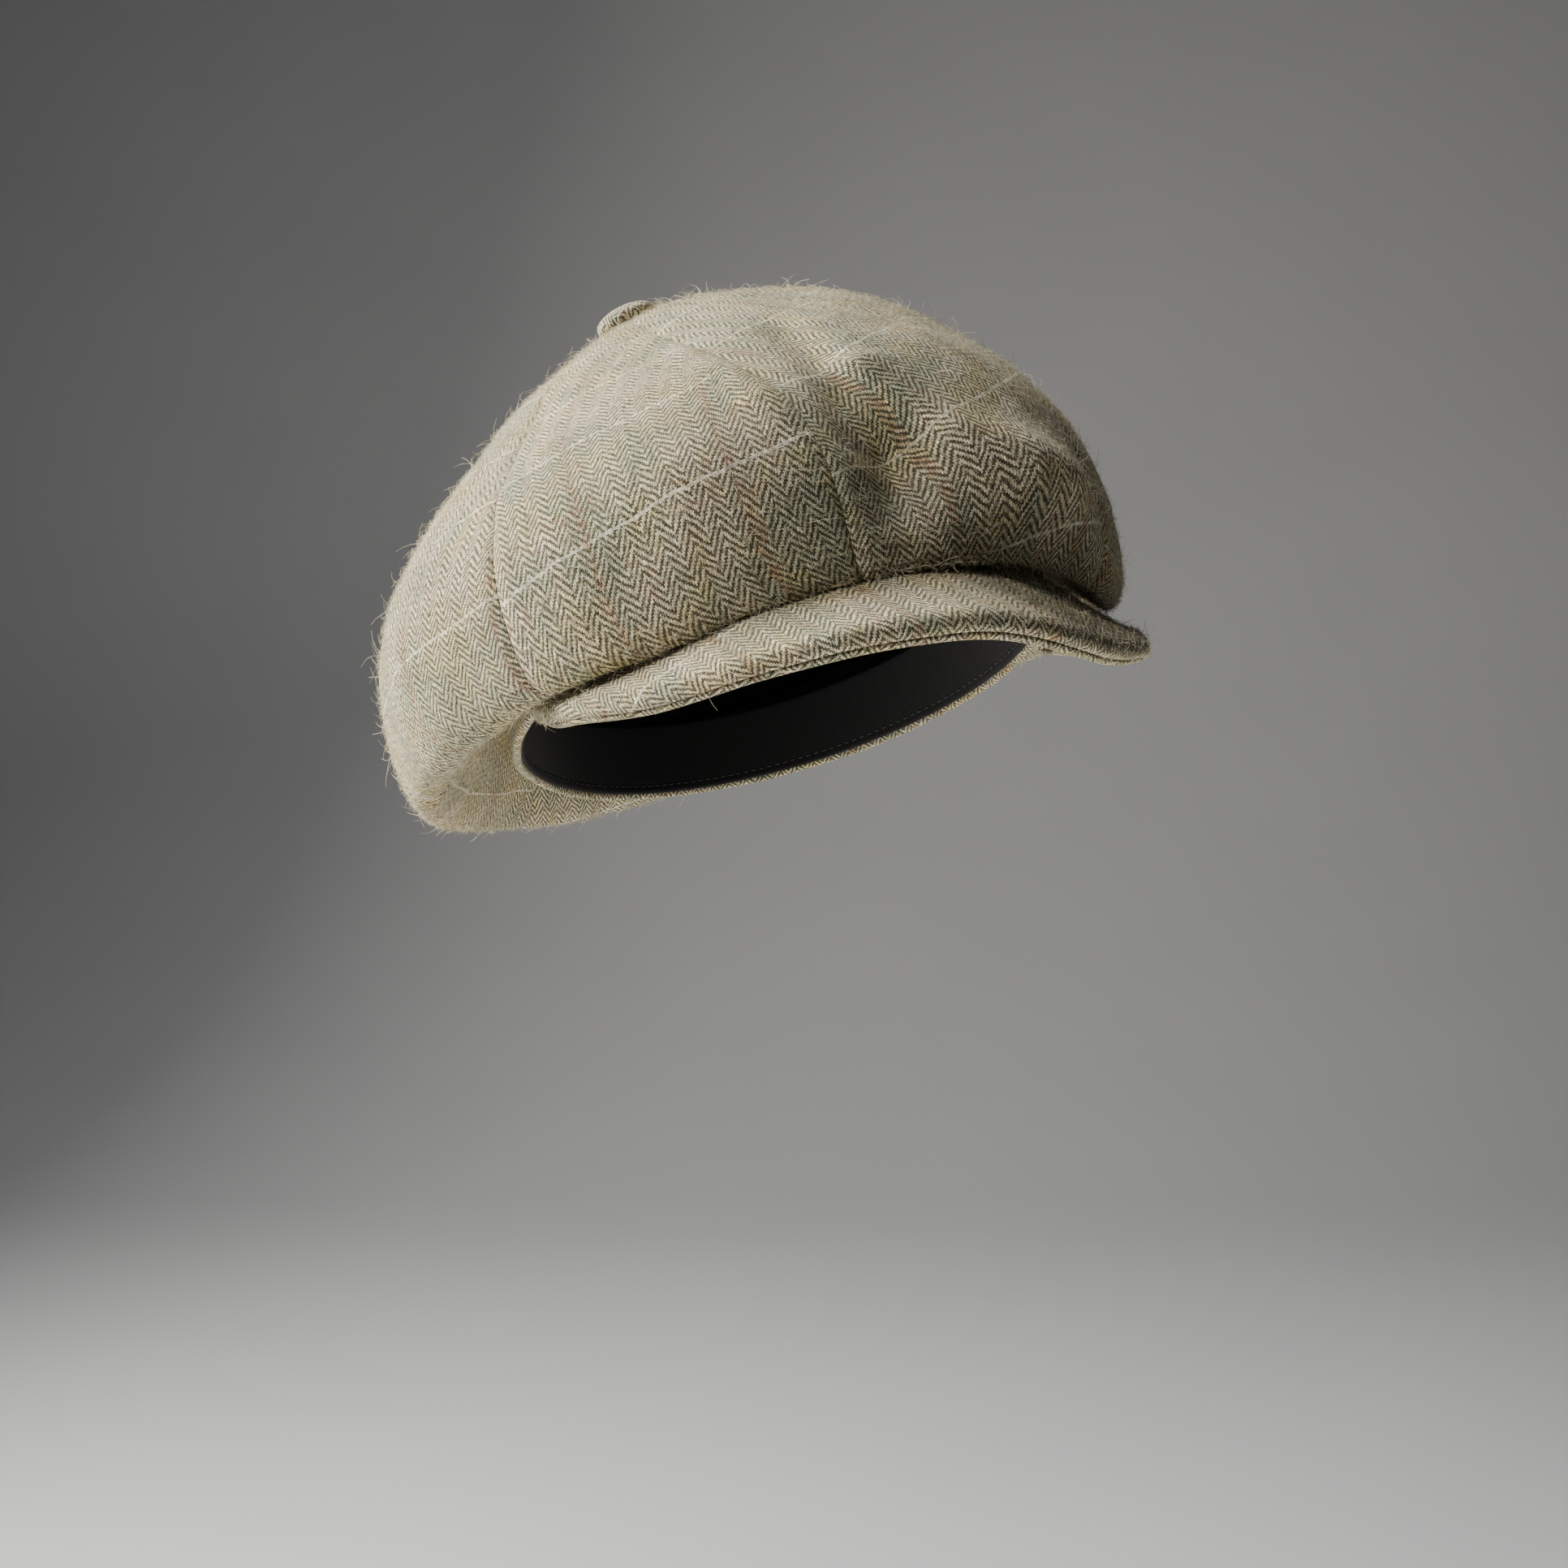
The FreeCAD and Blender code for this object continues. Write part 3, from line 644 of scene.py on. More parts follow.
def ring_weights(height):
    """How much each of the seven rings pulls at a height from 0, the band, to 1."""
    knots = np.array([0, 0, 0, 0, 1, 2, 3, 4, 4, 4, 4]) / 4
    height = np.clip(height, 0, 1 - 1e-9)
    pull = [((height >= knots[k]) & (height < knots[k + 1])) * 1.0 for k in range(10)]
    for degree in (1, 2, 3):
        pull = [
            (height - knots[k]) / max(knots[k + degree] - knots[k], 1e-9) * pull[k]
            + (knots[k + degree + 1] - height)
            / max(knots[k + degree + 1] - knots[k + 1], 1e-9) * pull[k + 1]
            for k in range(10 - degree)
        ]
    return np.stack(pull, -1)


def outline_point(rings, angle, height):
    return np.einsum("...k,...kc->...c", ring_weights(height), rings(angle))


def outline_normal(rings, angle, height):
    """The outward direction of a crown layer."""
    step = 0.002
    round_the_cap = (
        outline_point(rings, angle + step, height) - outline_point(rings, angle - step, height))
    upwards = (
        outline_point(rings, angle, height + step)
        - outline_point(rings, angle, np.maximum(height - step, 0)))
    return unit(np.cross(round_the_cap, upwards))


front_line = outline_point(crown_rings, np.zeros(200), np.linspace(0, 1, 200))
print("front of the crown, band to button", round(running_length(front_line)[-1] / MM), "mm")

# %% [markdown]
# ## The brim
#
# The brim is a stiff board between two covers of tweed.  The upper cover rolls
# over the outer edge and meets the lower one in a seam just underneath, so the
# edge looks thick and soft.  One formula gives the board's curved middle
# surface; each cover follows it at its own depth.

# %% Brim surface
BRIM = {
    "half_angle": 74.5, "seat": -2.0 * MM, "gap": 0.8 * MM,
    "length": 45.5 * MM, "roundness": 2.2, "end_power": 0.426,
    "forward": 0.582, "droop": (41.0, 50.0), "half_depth": 3.7 * MM, "edge_roll": 4.4 * MM,
}
BRIM_WALL = 1.7 * MM
# wear has bent the board: it hangs lower left of the middle and less at its two ends
BRIM_BEND = {
    "low": 12.5, "low_at": 0.36, "low_width": 0.28, "lift": 2.5, "ends": (13.0, 22.0),
    "ends_from": 0.6}
BRIM_THICKENS = (-3 * MM, 24 * MM)      # full depth where the brim reaches out this far
BRIM_RIPPLE = {"height": 0.5 * MM, "length": 22 * MM, "seed": 6.4, "from_seam": 8 * MM}
EDGE_TUCK = {"share": 0.16, "from": 0.72}       # where each cover pulls in under the edge
STEEPEST = 0.55         # keeps the covers from spreading where the brim hangs steeply


def brim_seam(share):
    return oval(
        math.radians(BRIM["half_angle"]) * share,
        band_high.x + BRIM["gap"], band_high.y + BRIM["gap"], BRIM["seat"])


def brim_reach(share):
    """The curved outline, which runs back into the band at each end."""
    fade = np.maximum(1 - np.abs(share) ** BRIM["roundness"], 0)
    return BRIM["length"] * fade ** BRIM["end_power"]


def brim_slope(share):
    """The way the brim runs from its seam: out, turned to the front, and down."""
    angle = math.radians(BRIM["half_angle"]) * share
    out = unit(np.stack(
        [np.sin(angle) / band_high.x, -np.cos(angle) / band_high.y, 0 * angle], -1))
    out = unit(out * (1 - BRIM["forward"]) + np.array([0, -1, 0]) * BRIM["forward"])
    droop = BRIM["droop"][0] * (1 - share ** 2) + BRIM["droop"][1] * share ** 2
    hollow = (share - BRIM_BEND["low_at"]) / BRIM_BEND["low_width"]
    droop += BRIM_BEND["low"] * np.exp(-hollow ** 2) - BRIM_BEND["lift"]
    ends = np.where(share < 0, *BRIM_BEND["ends"])
    droop -= ends * smooth_step(BRIM_BEND["ends_from"], 1.0, np.abs(share))
    droop = np.radians(droop)[..., None]
    return out * np.cos(droop) - np.array([0, 0, 1]) * np.sin(droop)


def brim_up(share):
    """The way up from the brim's middle surface."""
    step = 0.01
    half = brim_reach(share)[..., None] / 2
    around = (
        brim_seam(share + step) + brim_slope(share + step) * half
        - brim_seam(share - step) - brim_slope(share - step) * half)
    return unit(np.cross(brim_slope(share), around))


def brim_spot(share, out, up):
    """A point of the brim: so far out from its seam and so far above its middle."""
    reach = np.maximum(brim_reach(share), 1e-6)
    normal = brim_up(share)
    upright = np.array([0, 0, 1.0]) / np.maximum(normal[..., 2:], STEEPEST)
    near_seam = np.clip(1 - out / reach, 0, 1)[..., None]
    away = normal * (1 - near_seam) + upright * near_seam
    spot = brim_seam(share) + brim_slope(share) * out[..., None] + away * up[..., None]
    ripple = BRIM_RIPPLE["height"] * crumple(spot, BRIM_RIPPLE["length"], BRIM_RIPPLE["seed"])
    return spot + normal * (ripple * smooth_step(0, BRIM_RIPPLE["from_seam"], out))[..., None]


def brim_share(across):
    """Columns crowd towards the two ends, where the brim's outline turns fast."""
    return np.sin(math.pi / 2 * (2 * across - 1))


def brim_profile(share, along, edge_turn, under):
    """A cover's distance out, its height and its run over the cloth, from the seam."""
    reach = brim_reach(share)
    roll = np.clip(reach * 0.5, 0.01 * MM, BRIM["edge_roll"])
    deep = BRIM["half_depth"] * smooth_step(*BRIM_THICKENS, reach)
    flat_run = reach - roll
    full_run = flat_run + roll * edge_turn
    place = along if under else 1 - along
    run = place * full_run
    rolled = np.clip((run - flat_run) / (full_run - flat_run), 0, 1)
    turn = rolled * edge_turn
    tuck = 1 - EDGE_TUCK["share"] * smooth_step(EDGE_TUCK["from"], 1.0, rolled)
    out = np.minimum(run, flat_run) + roll * np.sin(turn) * tuck
    up = (-1.0 if under else 1.0) * deep * np.cos(turn) * tuck
    return out, up, np.minimum(run, flat_run) + turn * (roll + deep) / 2


print("brim's tip", [round(float(x) / MM) for x in brim_spot(
    np.array(0.0), brim_reach(np.array(0.0)), np.array(0.0))], "mm")

# %% [markdown]
# ## Puff, seams and folds
#
# Sewn cloth is never as smooth as its pattern.  Each gore puffs out between its
# seams, the seam sinks into a furrow with a soft lip on each side, and where the
# cap is pushed over, the slack cloth makes a few folds.  All of it is added as
# one push along the surface's normal, measured in the cap's own millimetres.

# %% Folds of the crown
FOLDS = {       # (angle in degrees, height, push in mm) along each fold, and its reach in mm
    "front crease": (((22, 0.77, 0.0), (15, 0.71, -2.5), (10, 0.61, -3.5), (7, 0.53, -3.5),
                      (5.5, 0.47, -2.5), (5, 0.40, 0.0)), 6.0),
    "front hollow": (((12, 0.57, 0.0), (10.5, 0.50, -5.0), (9.5, 0.43, -9.5), (8, 0.345, -6.5),
                      (6.5, 0.25, -1.0)), 11.5),
    "ridge right of the crease": (((-2, 0.80, 0.0), (-3.5, 0.66, 2.5), (-3, 0.55, 2.5),
                                   (-1.5, 0.47, 0.5)), 7.0),
    "ridge left of the crease": (((12, 0.66, 0.0), (13, 0.56, 1.5), (14, 0.48, 2.0),
                                  (17, 0.42, 2.0)), 7.0),
    "bulge beside the hollow": (((13, 0.385, -1.0), (18.5, 0.37, 4.0), (25, 0.34, 11.0),
                                 (32, 0.315, 9.5), (42, 0.28, 2.0)), 12.5),
    "tuck under the bulge": (((8, 0.20, -1.0), (18, 0.20, -3.5), (30, 0.20, -3.5),
                              (42, 0.19, -1.5)), 10.0),
    "flattened left side": (((78, 0.12, -9.5), (76, 0.40, -6.5), (62, 0.60, -5.0),
                             (45, 0.78, -2.5)), 36.0),
    "ridge of the right side": (((-85, 0.62, 0.0), (-70, 0.45, 1.5), (-62, 0.25, 1.5),
                                 (-60, 0.15, 1.0)), 10.0),
}
PUFF = {"height": 1.6 * MM, "full_width": 60 * MM}      # of a gore between its seams
FURROW = {"depth": 0.50 * MM, "width": 1.1 * MM}        # where two gores are sewn together
LIP = {"height": 0.2 * MM, "from_seam": 5 * MM, "width": 3 * MM}
CRUMPLES = ((1.3 * MM, 34 * MM, 3.1), (0.5 * MM, 13 * MM, 7.7))     # height, length, seed
STIFF_FOOT = 0.10       # below this height the band holds the cloth
pushes = [spot[2] for path, _ in FOLDS.values() for spot in path]
print("folds", len(FOLDS), "from", min(pushes), "to", max(pushes), "mm")


def along_path(points, path, values):
    """How far each point is from a chain of straight runs, and the value at its foot."""
    nearest = np.full(points.shape[:-1], np.inf)
    value = np.zeros(points.shape[:-1])
    for number, (start, end) in enumerate(zip(path[:-1], path[1:])):
        run = end - start
        share = np.clip(((points - start) @ run) / (run @ run), 0, 1)
        gap = np.linalg.norm(points - start - share[..., None] * run, axis=-1)
        here = values[number] * (1 - share) + values[number + 1] * share
        value = np.where(gap < nearest, here, value)
        nearest = np.minimum(nearest, gap)
    return nearest, value


def fold_push(skin, depth=0.0):
    """The folds alone, at points of the plain outline or of a layer under it."""
    push = np.zeros(skin.shape[:-1])
    for path, reach in FOLDS.values():
        spots = np.array(path, float)
        angles, heights = np.radians(spots[:, 0]), spots[:, 1]
        line = outline_point(crown_rings, angles, heights)
        line -= outline_normal(crown_rings, angles, heights) * depth
        gap, value = along_path(skin, line, spots[:, 2] * MM)
        push += value * np.exp(-(gap / (reach * MM)) ** 2)
    return push


def crown_push(angle, height, skin):
    """How far the worn cloth stands off the plain outline, outwards positive."""
    part = (angle / GORE_ANGLE) % 1.0
    first = (angle // GORE_ANGLE) * GORE_ANGLE
    seam_span = (
        outline_point(crown_rings, first + GORE_ANGLE, height)
        - outline_point(crown_rings, first, height))
    width = np.linalg.norm(seam_span, axis=-1)
    from_seam = np.minimum(part, 1 - part) * width
    bulk = np.clip(width / PUFF["full_width"], 0, 1)
    push = PUFF["height"] * bulk * (1 - (2 * part - 1) ** 2)
    furrow = np.exp(-(from_seam / FURROW["width"]) ** 2)
    push -= FURROW["depth"] * np.minimum(bulk * 2, 1) * furrow
    push += LIP["height"] * bulk * np.exp(-((from_seam - LIP["from_seam"]) / LIP["width"]) ** 2)
    push += fold_push(skin)
    push += sum(size * crumple(skin, length, seed) for size, length, seed in CRUMPLES)
    return push * smooth_step(0.0, STIFF_FOOT, height)


# %% [markdown]
# ## From a formula to a piece of cloth
#
# Every cloth piece starts as a flat grid, as if it lay on the cutting table.
# Each vertex is then sent to its place on the cap, and gets a second place, in
# metres on the uncut tweed, which the weave is counted from.  A wall added
# afterwards gives the cloth its thickness.  A subdivided cage would need fewer
# vertices, but the folds and the brim's edge would lose their true sizes.

# %% Cloth pieces
def cloth_piece(name, columns, rows, place, weave, material, wall):
    """A grid of cloth with its own weave map, thickened away from its face.

    place and weave take the share across and the share along, as arrays, and give
    the points in metres and the cloth coordinates in metres.
    """
    bm = bmesh.new()
    bmesh.ops.create_grid(bm, x_segments=columns, y_segments=rows, size=0.5)
    bm.verts.ensure_lookup_table()
    share = np.array([vertex.co[:2] for vertex in bm.verts]) + 0.5
    spots = place(share[:, 0], share[:, 1])
    woven = weave(share[:, 0], share[:, 1])
    cloth = bm.loops.layers.uv.new("cloth")
    for face in bm.faces:
        face.smooth = True
        for loop in face.loops:
            loop[cloth].uv = woven[loop.vert.index]
    for vertex, spot in zip(bm.verts, spots):
        vertex.co = spot
    bmesh.ops.remove_doubles(bm, verts=bm.verts, dist=1e-6)
    return finished_piece(name, bm, material, wall)


def finished_piece(name, bm, material, wall=0.0):
    """Turn a bmesh into a piece with its material and its thickness."""
    mesh = bpy.data.meshes.new(name)
    bm.to_mesh(mesh)
    bm.free()
    mesh.materials.append(material)
    piece = bpy.data.objects.new(name, mesh)
    bpy.context.scene.collection.objects.link(piece)
    if wall:
        thick = piece.modifiers.new("wall", "SOLIDIFY")
        thick.thickness = wall
        thick.offset = -1
        bpy.context.view_layer.update()
        solid = bpy.data.meshes.new_from_object(
            piece.evaluated_get(bpy.context.evaluated_depsgraph_get()))
        piece.modifiers.clear()
        piece.data = solid
        bpy.data.meshes.remove(mesh)
        solid.name = name
    return piece


# %% [markdown]
# ## The brim's covers and board
#
# The upper cover wraps the outer edge and the lower one meets it underneath, so
# both use one formula with a different turn at the edge.  The board lies between
# them, set back from edge and seam.

# %% Brim covers and board
BRIM_CUT_ROUND = 150 * MM               # the covers' weave fans out, as if cut on this curve
BRIM_COLUMNS = 240
UPPER_EDGE_TURN = math.radians(106)     # how far each cover wraps round the outer edge
LOWER_EDGE_TURN = math.radians(68)
BOARD = {"share": 0.93, "seam_margin": 1.5 * MM, "edge_margin": 9.0 * MM, "thickness": 1.6 * MM}


def brim_skin(across, along):
    """The upper face of the brim, for whatever lies on it."""
    share = brim_share(across)
    out, up, _ = brim_profile(share, along, UPPER_EDGE_TURN, False)
    return brim_spot(share, out, up)


def brim_cover(name, edge_turn, under, rows, shift):
    """One cover of the brim, its weave running from back to front.

    shift says, in metres, how far up the tweed the cover is cut.
    """
    fine = np.linspace(-1.1, 1.1, 600)
    seam_run = running_length(brim_seam(fine))
    seam_run -= seam_run[-1] / 2

    def place(across, along):
        share = brim_share(across)
        out, up, _ = brim_profile(share, along, edge_turn, under)
        return brim_spot(share, out, up)

    def weave(across, along):
        share = brim_share(across)
        _, _, run = brim_profile(share, along, edge_turn, under)
        turn = np.interp(share, fine, seam_run) / BRIM_CUT_ROUND
        way = BRIM_CUT_ROUND + run
        return np.stack([way * np.sin(turn), shift - way * np.cos(turn)], -1)

    return cloth_piece(name, BRIM_COLUMNS, rows, place, weave, TWEED, BRIM_WALL)


def make_brim_board():
    """The stiff board between the covers: thin, and set back from edge and seam."""
    bm = bmesh.new()
    bmesh.ops.create_grid(bm, x_segments=120, y_segments=12, size=0.5)
    bm.verts.ensure_lookup_table()
    across, along = (np.array([vertex.co[:2] for vertex in bm.verts]) + 0.5).T
    share = BOARD["share"] * brim_share(across)
    reach = brim_reach(share)
    out = BOARD["seam_margin"] + along * np.maximum(
        reach - BOARD["edge_margin"] - BOARD["seam_margin"], 2 * MM)
    for vertex, spot in zip(bm.verts, brim_spot(share, out, 0 * out + BOARD["thickness"] / 2)):
        vertex.co = spot
    for face in bm.faces:
        face.smooth = True
    return finished_piece("brim_board", bm, BRIM_BOARD, BOARD["thickness"])


upper_cover = brim_cover("brim_upper_cover", UPPER_EDGE_TURN, False, 60, 0.311)
under_cover = brim_cover("brim_lower_cover", LOWER_EDGE_TURN, True, 50, 0.333)
board = make_brim_board()
BRIM_SIDE = (0, float(brim_seam(np.array(1.0))[1]), BRIM["seat"])
for cover, node in (
        (upper_cover, "brim_top_cover"), (under_cover, "brim_under_cover"),
        (board, "brim_stiffener")):
    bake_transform(cover)
    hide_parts(node)
print("brim covers", len(upper_cover.data.polygons), len(under_cover.data.polygons))

# %% [markdown]
# ## Cloth that lies on cloth
#
# The crown rests on the brim and the lining hangs inside the crown, and no cloth
# may pass through another.  A cloth simulation would settle them, slowly and a
# little differently for each change.  Here one face is caught in a search tree,
# and the points of the other that come too near it are moved off it.

# %% Cloth that lies on cloth
def net(place, columns, rows):
    """A search tree of a cloth's outer face, made from its own formula."""
    bm = bmesh.new()
    bmesh.ops.create_grid(bm, x_segments=columns, y_segments=rows, size=0.5)
    share = np.array([vertex.co[:2] for vertex in bm.verts]) + 0.5
    for vertex, spot in zip(bm.verts, place(share[:, 0], share[:, 1])):
        vertex.co = spot
    bm.normal_update()
    tree = BVHTree.FromBMesh(bm)
    bm.free()
    return tree


def keep_off(points, tree, side, gap, reach):
    """Move points that come too near a face: side 1 keeps them over it, -1 under it."""
    moved = points.copy()
    gaps = np.broadcast_to(gap, points.shape[:-1]).ravel()
    for number, point in enumerate(points.reshape(-1, 3).tolist()):
        spot, normal, _, _ = tree.find_nearest(point, reach)
        if spot is not None:
            short = gaps[number] - side * (Vector(point) - spot).dot(normal)
            if short > 0:
                moved.reshape(-1, 3)[number] += np.array(normal) * side * min(short, reach)
    return moved


# %% The worn crown
SLUMP = 6.5 * MM            # how far the front of the crown sinks onto the brim
CORNER_SLUMP = 8 * MM       # how much more its left corner does, past the brim's end
FRONT_SINKS = (-1.15, -0.35, 1.3, 2.2)      # radians round: start, full, fading, end
CORNER_SINKS = (0.5, 1.0, 1.6, 2.4)
BRIM_GAP = 0.9 * MM         # between crown and brim
LEFT_GAP = 2.8 * MM         # what the left side adds, where the crown stands off
LEFT_LIFTS = (0.0, 0.45, 0.8, 1.15)
BRIM_NEAR = 8 * MM
brim_face = net(brim_skin, 200, 60)


def slump(angle, height):
    """The front of the crown sinks until it lies on the brim."""
    sink = SLUMP * window(angle, *FRONT_SINKS) * smooth_step(0.03, 0.15, height)
    sink += CORNER_SLUMP * window(angle, *CORNER_SINKS) * smooth_step(0.0, 0.07, height)
    return sink * smooth_step(0.62, 0.2, height)


def crown_skin(angle, height):
    """The outer face of the worn crown: pushed, sunk, and kept over the brim."""
    skin = outline_point(crown_rings, angle, height)
    push = crown_push(angle, height, skin)
    turn = (angle + math.pi) % (2 * math.pi) - math.pi
    skin = skin + outline_normal(crown_rings, angle, height) * push[..., None]
    gap = BRIM_GAP + LEFT_GAP * window(turn, *LEFT_LIFTS)
    return keep_off(raised(skin, -slump(turn, height)), brim_face, 1, gap, BRIM_NEAR)


around, up = np.meshgrid(np.linspace(0, 2 * math.pi, 73), np.linspace(0.05, 0.40, 8))
print("the crown hangs down to", round(crown_skin(around, up)[..., 2].min() / MM, 1), "mm")

# %% [markdown]
# ## Eight gores of tweed
#
# Each gore is cut with its straight grain up the middle, so the zigzag climbs to
# the button and the patterns meet at an angle in every seam.  Blender's own
# unwrapping would stretch them.  This map measures, along the plain outline, how
# far each point lies up the gore and to its side.

# %% Gores
GORE_COLUMNS = 64
GORE_ROWS = 150
SEAM_CROWDING = 0.6     # columns stand closer together near the seams
FINE_STEPS = 400        # along an outline, to measure it
WEAVE_STEPS = 7         # from a gore's middle line to a point of it
SLANT_REACH = 0.12      # heights over which the lean of the cloth is evened out
ROLL_HEIGHT = 0.25      # the crown's outline rolls under below this
CHECK_START = 4 * CHECK_PITCH
CUT_SHIFT = 0.31        # metres along the uncut tweed from one gore to the next
TWEED_WALL = 1.8 * MM
CROWN_TOP = 0.985       # the gores end here, under the button
GRAIN = {       # turn in degrees at a cream line, that line's place in mm, growth of the turn
    "front_left": (18, 73, 0.0), "front_right": (4, 70, -4.5), "right_front": (-2, 79, -3.0)}
PLAIN_GRAIN = (0, 69, 0.0)


def even_heights(rings, top):
    """Heights that space the rows evenly along the outline."""
    fine = np.linspace(0, top, FINE_STEPS)
    angles = np.linspace(0, 2 * math.pi, len(PLACES) + 1)[:-1]
    lines = outline_point(rings, *np.meshgrid(angles, fine))
    steps = np.linalg.norm(np.diff(lines, axis=0), axis=-1).mean(axis=1)
    return fine, np.concatenate([[0], np.cumsum(steps)])


def lean_of_cloth(rings, angle, height, top):
    """How much the middle line of a gore leans to its crosswise yarns, evened out."""
    slant = np.zeros_like(height)
    middle = np.full_like(height, angle)
    for shift in np.linspace(-SLANT_REACH, SLANT_REACH, WEAVE_STEPS):
        near = np.clip(height + shift, ROLL_HEIGHT, top - 0.01)
        centre = outline_point(rings, middle, near)
        upwards = outline_point(rings, middle, near + 0.01) - centre
        sideways = outline_point(rings, middle + 0.05, near) - centre
        slant += np.einsum("...c,...c->...", upwards, sideways) / (
            np.linalg.norm(upwards, axis=-1) * np.linalg.norm(sideways, axis=-1))
    return slant / WEAVE_STEPS


def gore(number, rings, skin, top, name, material, wall, grain):
    """One gore of a crown layer; its weave is measured from its own middle line.

    grain says how the slouch has turned the cloth: a turn in degrees at a cross line
    of the check, how far up the gore that line lies, in millimetres, and how much the
    turn grows from there, in radians a metre.
    """
    turn_there, line_up, turn_growth = math.radians(grain[0]), grain[1] * MM, grain[2]
    fine, run = even_heights(rings, top)

    def surface_place(across, along):
        crowded = across - SEAM_CROWDING * np.sin(2 * math.pi * across) / (2 * math.pi)
        angle = (number + crowded) * GORE_ANGLE
        return angle, np.interp(along * run[-1], run, fine)

    middle = (number + 0.5) * GORE_ANGLE
    spine_share = np.linspace(0, 1, FINE_STEPS)
    spine = outline_point(rings, *surface_place(np.full(FINE_STEPS, 0.5), spine_share))
    spine_run = running_length(spine)

    def place(across, along):
        return skin(*surface_place(across, along))

    def weave(across, along):
        """Straight grain: how far a point lies along the spine and to the side of it."""
        angle, height = surface_place(across, along)
        turn = angle - middle
        length = np.zeros_like(height)
        before = outline_point(rings, np.full_like(height, middle), height)
        for step in range(1, WEAVE_STEPS + 1):
            here = outline_point(rings, middle + turn * step / WEAVE_STEPS, height)
            length += np.linalg.norm(here - before, axis=-1)
            before = here
        length *= np.sign(turn)
        slant = lean_of_cloth(rings, middle, height, top)
        aside = length * np.sqrt(1 - slant ** 2)
        up = np.interp(along, spine_share, spine_run) + length * slant - line_up
        bend = turn_there + turn_growth * up
        aside, up = (
            aside * np.cos(bend) + up * np.sin(bend / 2), up - aside * np.sin(bend))
        return np.stack([aside + number * CUT_SHIFT, up + CHECK_START], -1)

    return cloth_piece(
        name, GORE_COLUMNS, GORE_ROWS, place, weave, material, wall)


# %% Sew the crown
for number, place_name in enumerate(PLACES):
    panel = gore(
        number, crown_rings, crown_skin, CROWN_TOP, "tweed_gore_" + place_name,
        TWEED, TWEED_WALL, GRAIN.get(place_name, PLAIN_GRAIN))
    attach(panel, "cap")
    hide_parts("crown_panel_" + place_name)
print("tweed gores", len(PLACES), "faces each", len(panel.data.polygons))

# %% [markdown]
# ## The lining
#
# The lining is a second, plainer bag of eight gores.  It hangs a few
# millimetres inside the tweed, to leave room for the seam allowances, and it
# gives way where the crown is pushed in.  Thin satin pulls into small creases.

# %% Lining gores
LINING_ROOM = 2.6 * MM      # left for the seam allowances
LINING_SHARE = 0.5          # how far its lower rings stand from the band to the widest ring
LINING_WALL = 0.5 * MM
LINING_TOP = 0.985
CREASE = {"height": 0.9 * MM, "length": 7 * MM, "seed": 2.2, "upright": 0.25}
LINING_SEAM = {"depth": 0.6 * MM, "width": 0.03}
GIVES_WAY = 1.15            # how much deeper than the tweed's folds the lining is pushed
LINING_GAP, LINING_NEAR = 0.4 * MM, 12 * MM


def lining_rings(angle):
    """The lining's seven control points: it skips the crown's fold down at the band."""
    rings = crown_rings(angle)
    depth = TWEED_WALL + LINING_ROOM
    widest = widest_ring(angle + math.radians(SLOUCH["twist"][0]))
    inwards = np.array(widest_middle) - widest
    inwards[..., 2] = 0
    inwards = unit(inwards) * depth
    drop = np.array([0, 0, -depth])
    seat = rings[..., 0, :] - outline_normal(crown_rings, angle, 0 * angle) * (
        TWEED_WALL + LAYER_GAP)
    return np.stack([
        seat,
        seat * (1 - LINING_SHARE) + widest * LINING_SHARE,
        rings[..., 2, :] * (1 - LINING_SHARE) + widest * LINING_SHARE + inwards,
        rings[..., 3, :] + inwards + drop,
        rings[..., 4, :] + inwards + drop,
        rings[..., 5, :] + drop,
        rings[..., 6, :] + drop], -2)


def lining_skin(angle, height):
    """The lining's outer face: creased, and pushed in wherever the crown is."""
    skin = outline_point(lining_rings, angle, height)
    pressed = np.minimum(fold_push(skin, TWEED_WALL + LINING_ROOM), 0)
    part = (angle / GORE_ANGLE) % 1.0
    drawn_out = skin * np.array([1, 1, CREASE["upright"]])
    creases = CREASE["height"] * crumple(drawn_out, CREASE["length"], CREASE["seed"])
    from_seam = np.minimum(part, 1 - part)
    seam = LINING_SEAM["depth"] * np.exp(-(from_seam / LINING_SEAM["width"]) ** 2)
    push = pressed * GIVES_WAY + (creases - seam) * smooth_step(0.0, 0.15, height)
    skin = skin + outline_normal(lining_rings, angle, height) * push[..., None]
    return keep_off(skin, crown_face, -1, TWEED_WALL + LINING_GAP, LINING_NEAR)


# %% Sew the lining
crown_face = net(
    lambda across, along: crown_skin(across * 2 * math.pi, along * CROWN_TOP), 320, 120)
for number, place_name in enumerate(PLACES):
    panel = gore(
        number, lining_rings, lining_skin, LINING_TOP, "lining_gore_" + place_name,
        LINING, LINING_WALL, PLAIN_GRAIN)
    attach(panel, "cap")
    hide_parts("lining_panel_" + place_name)
print("lining gores", len(PLACES), "faces each", len(panel.data.polygons))

# %% [markdown]
# ## Hat band and sweatband
#
# The hat band is a strip of the tweed, folded double along its lower edge, and
# the crown is sewn to its top.  A ribbed tape lines it where it meets the head,
# held by a row of stitches.  Both are a cross-section carried round an oval.  The
# hat band wavers a little, so that it doesn't look turned on a lathe.

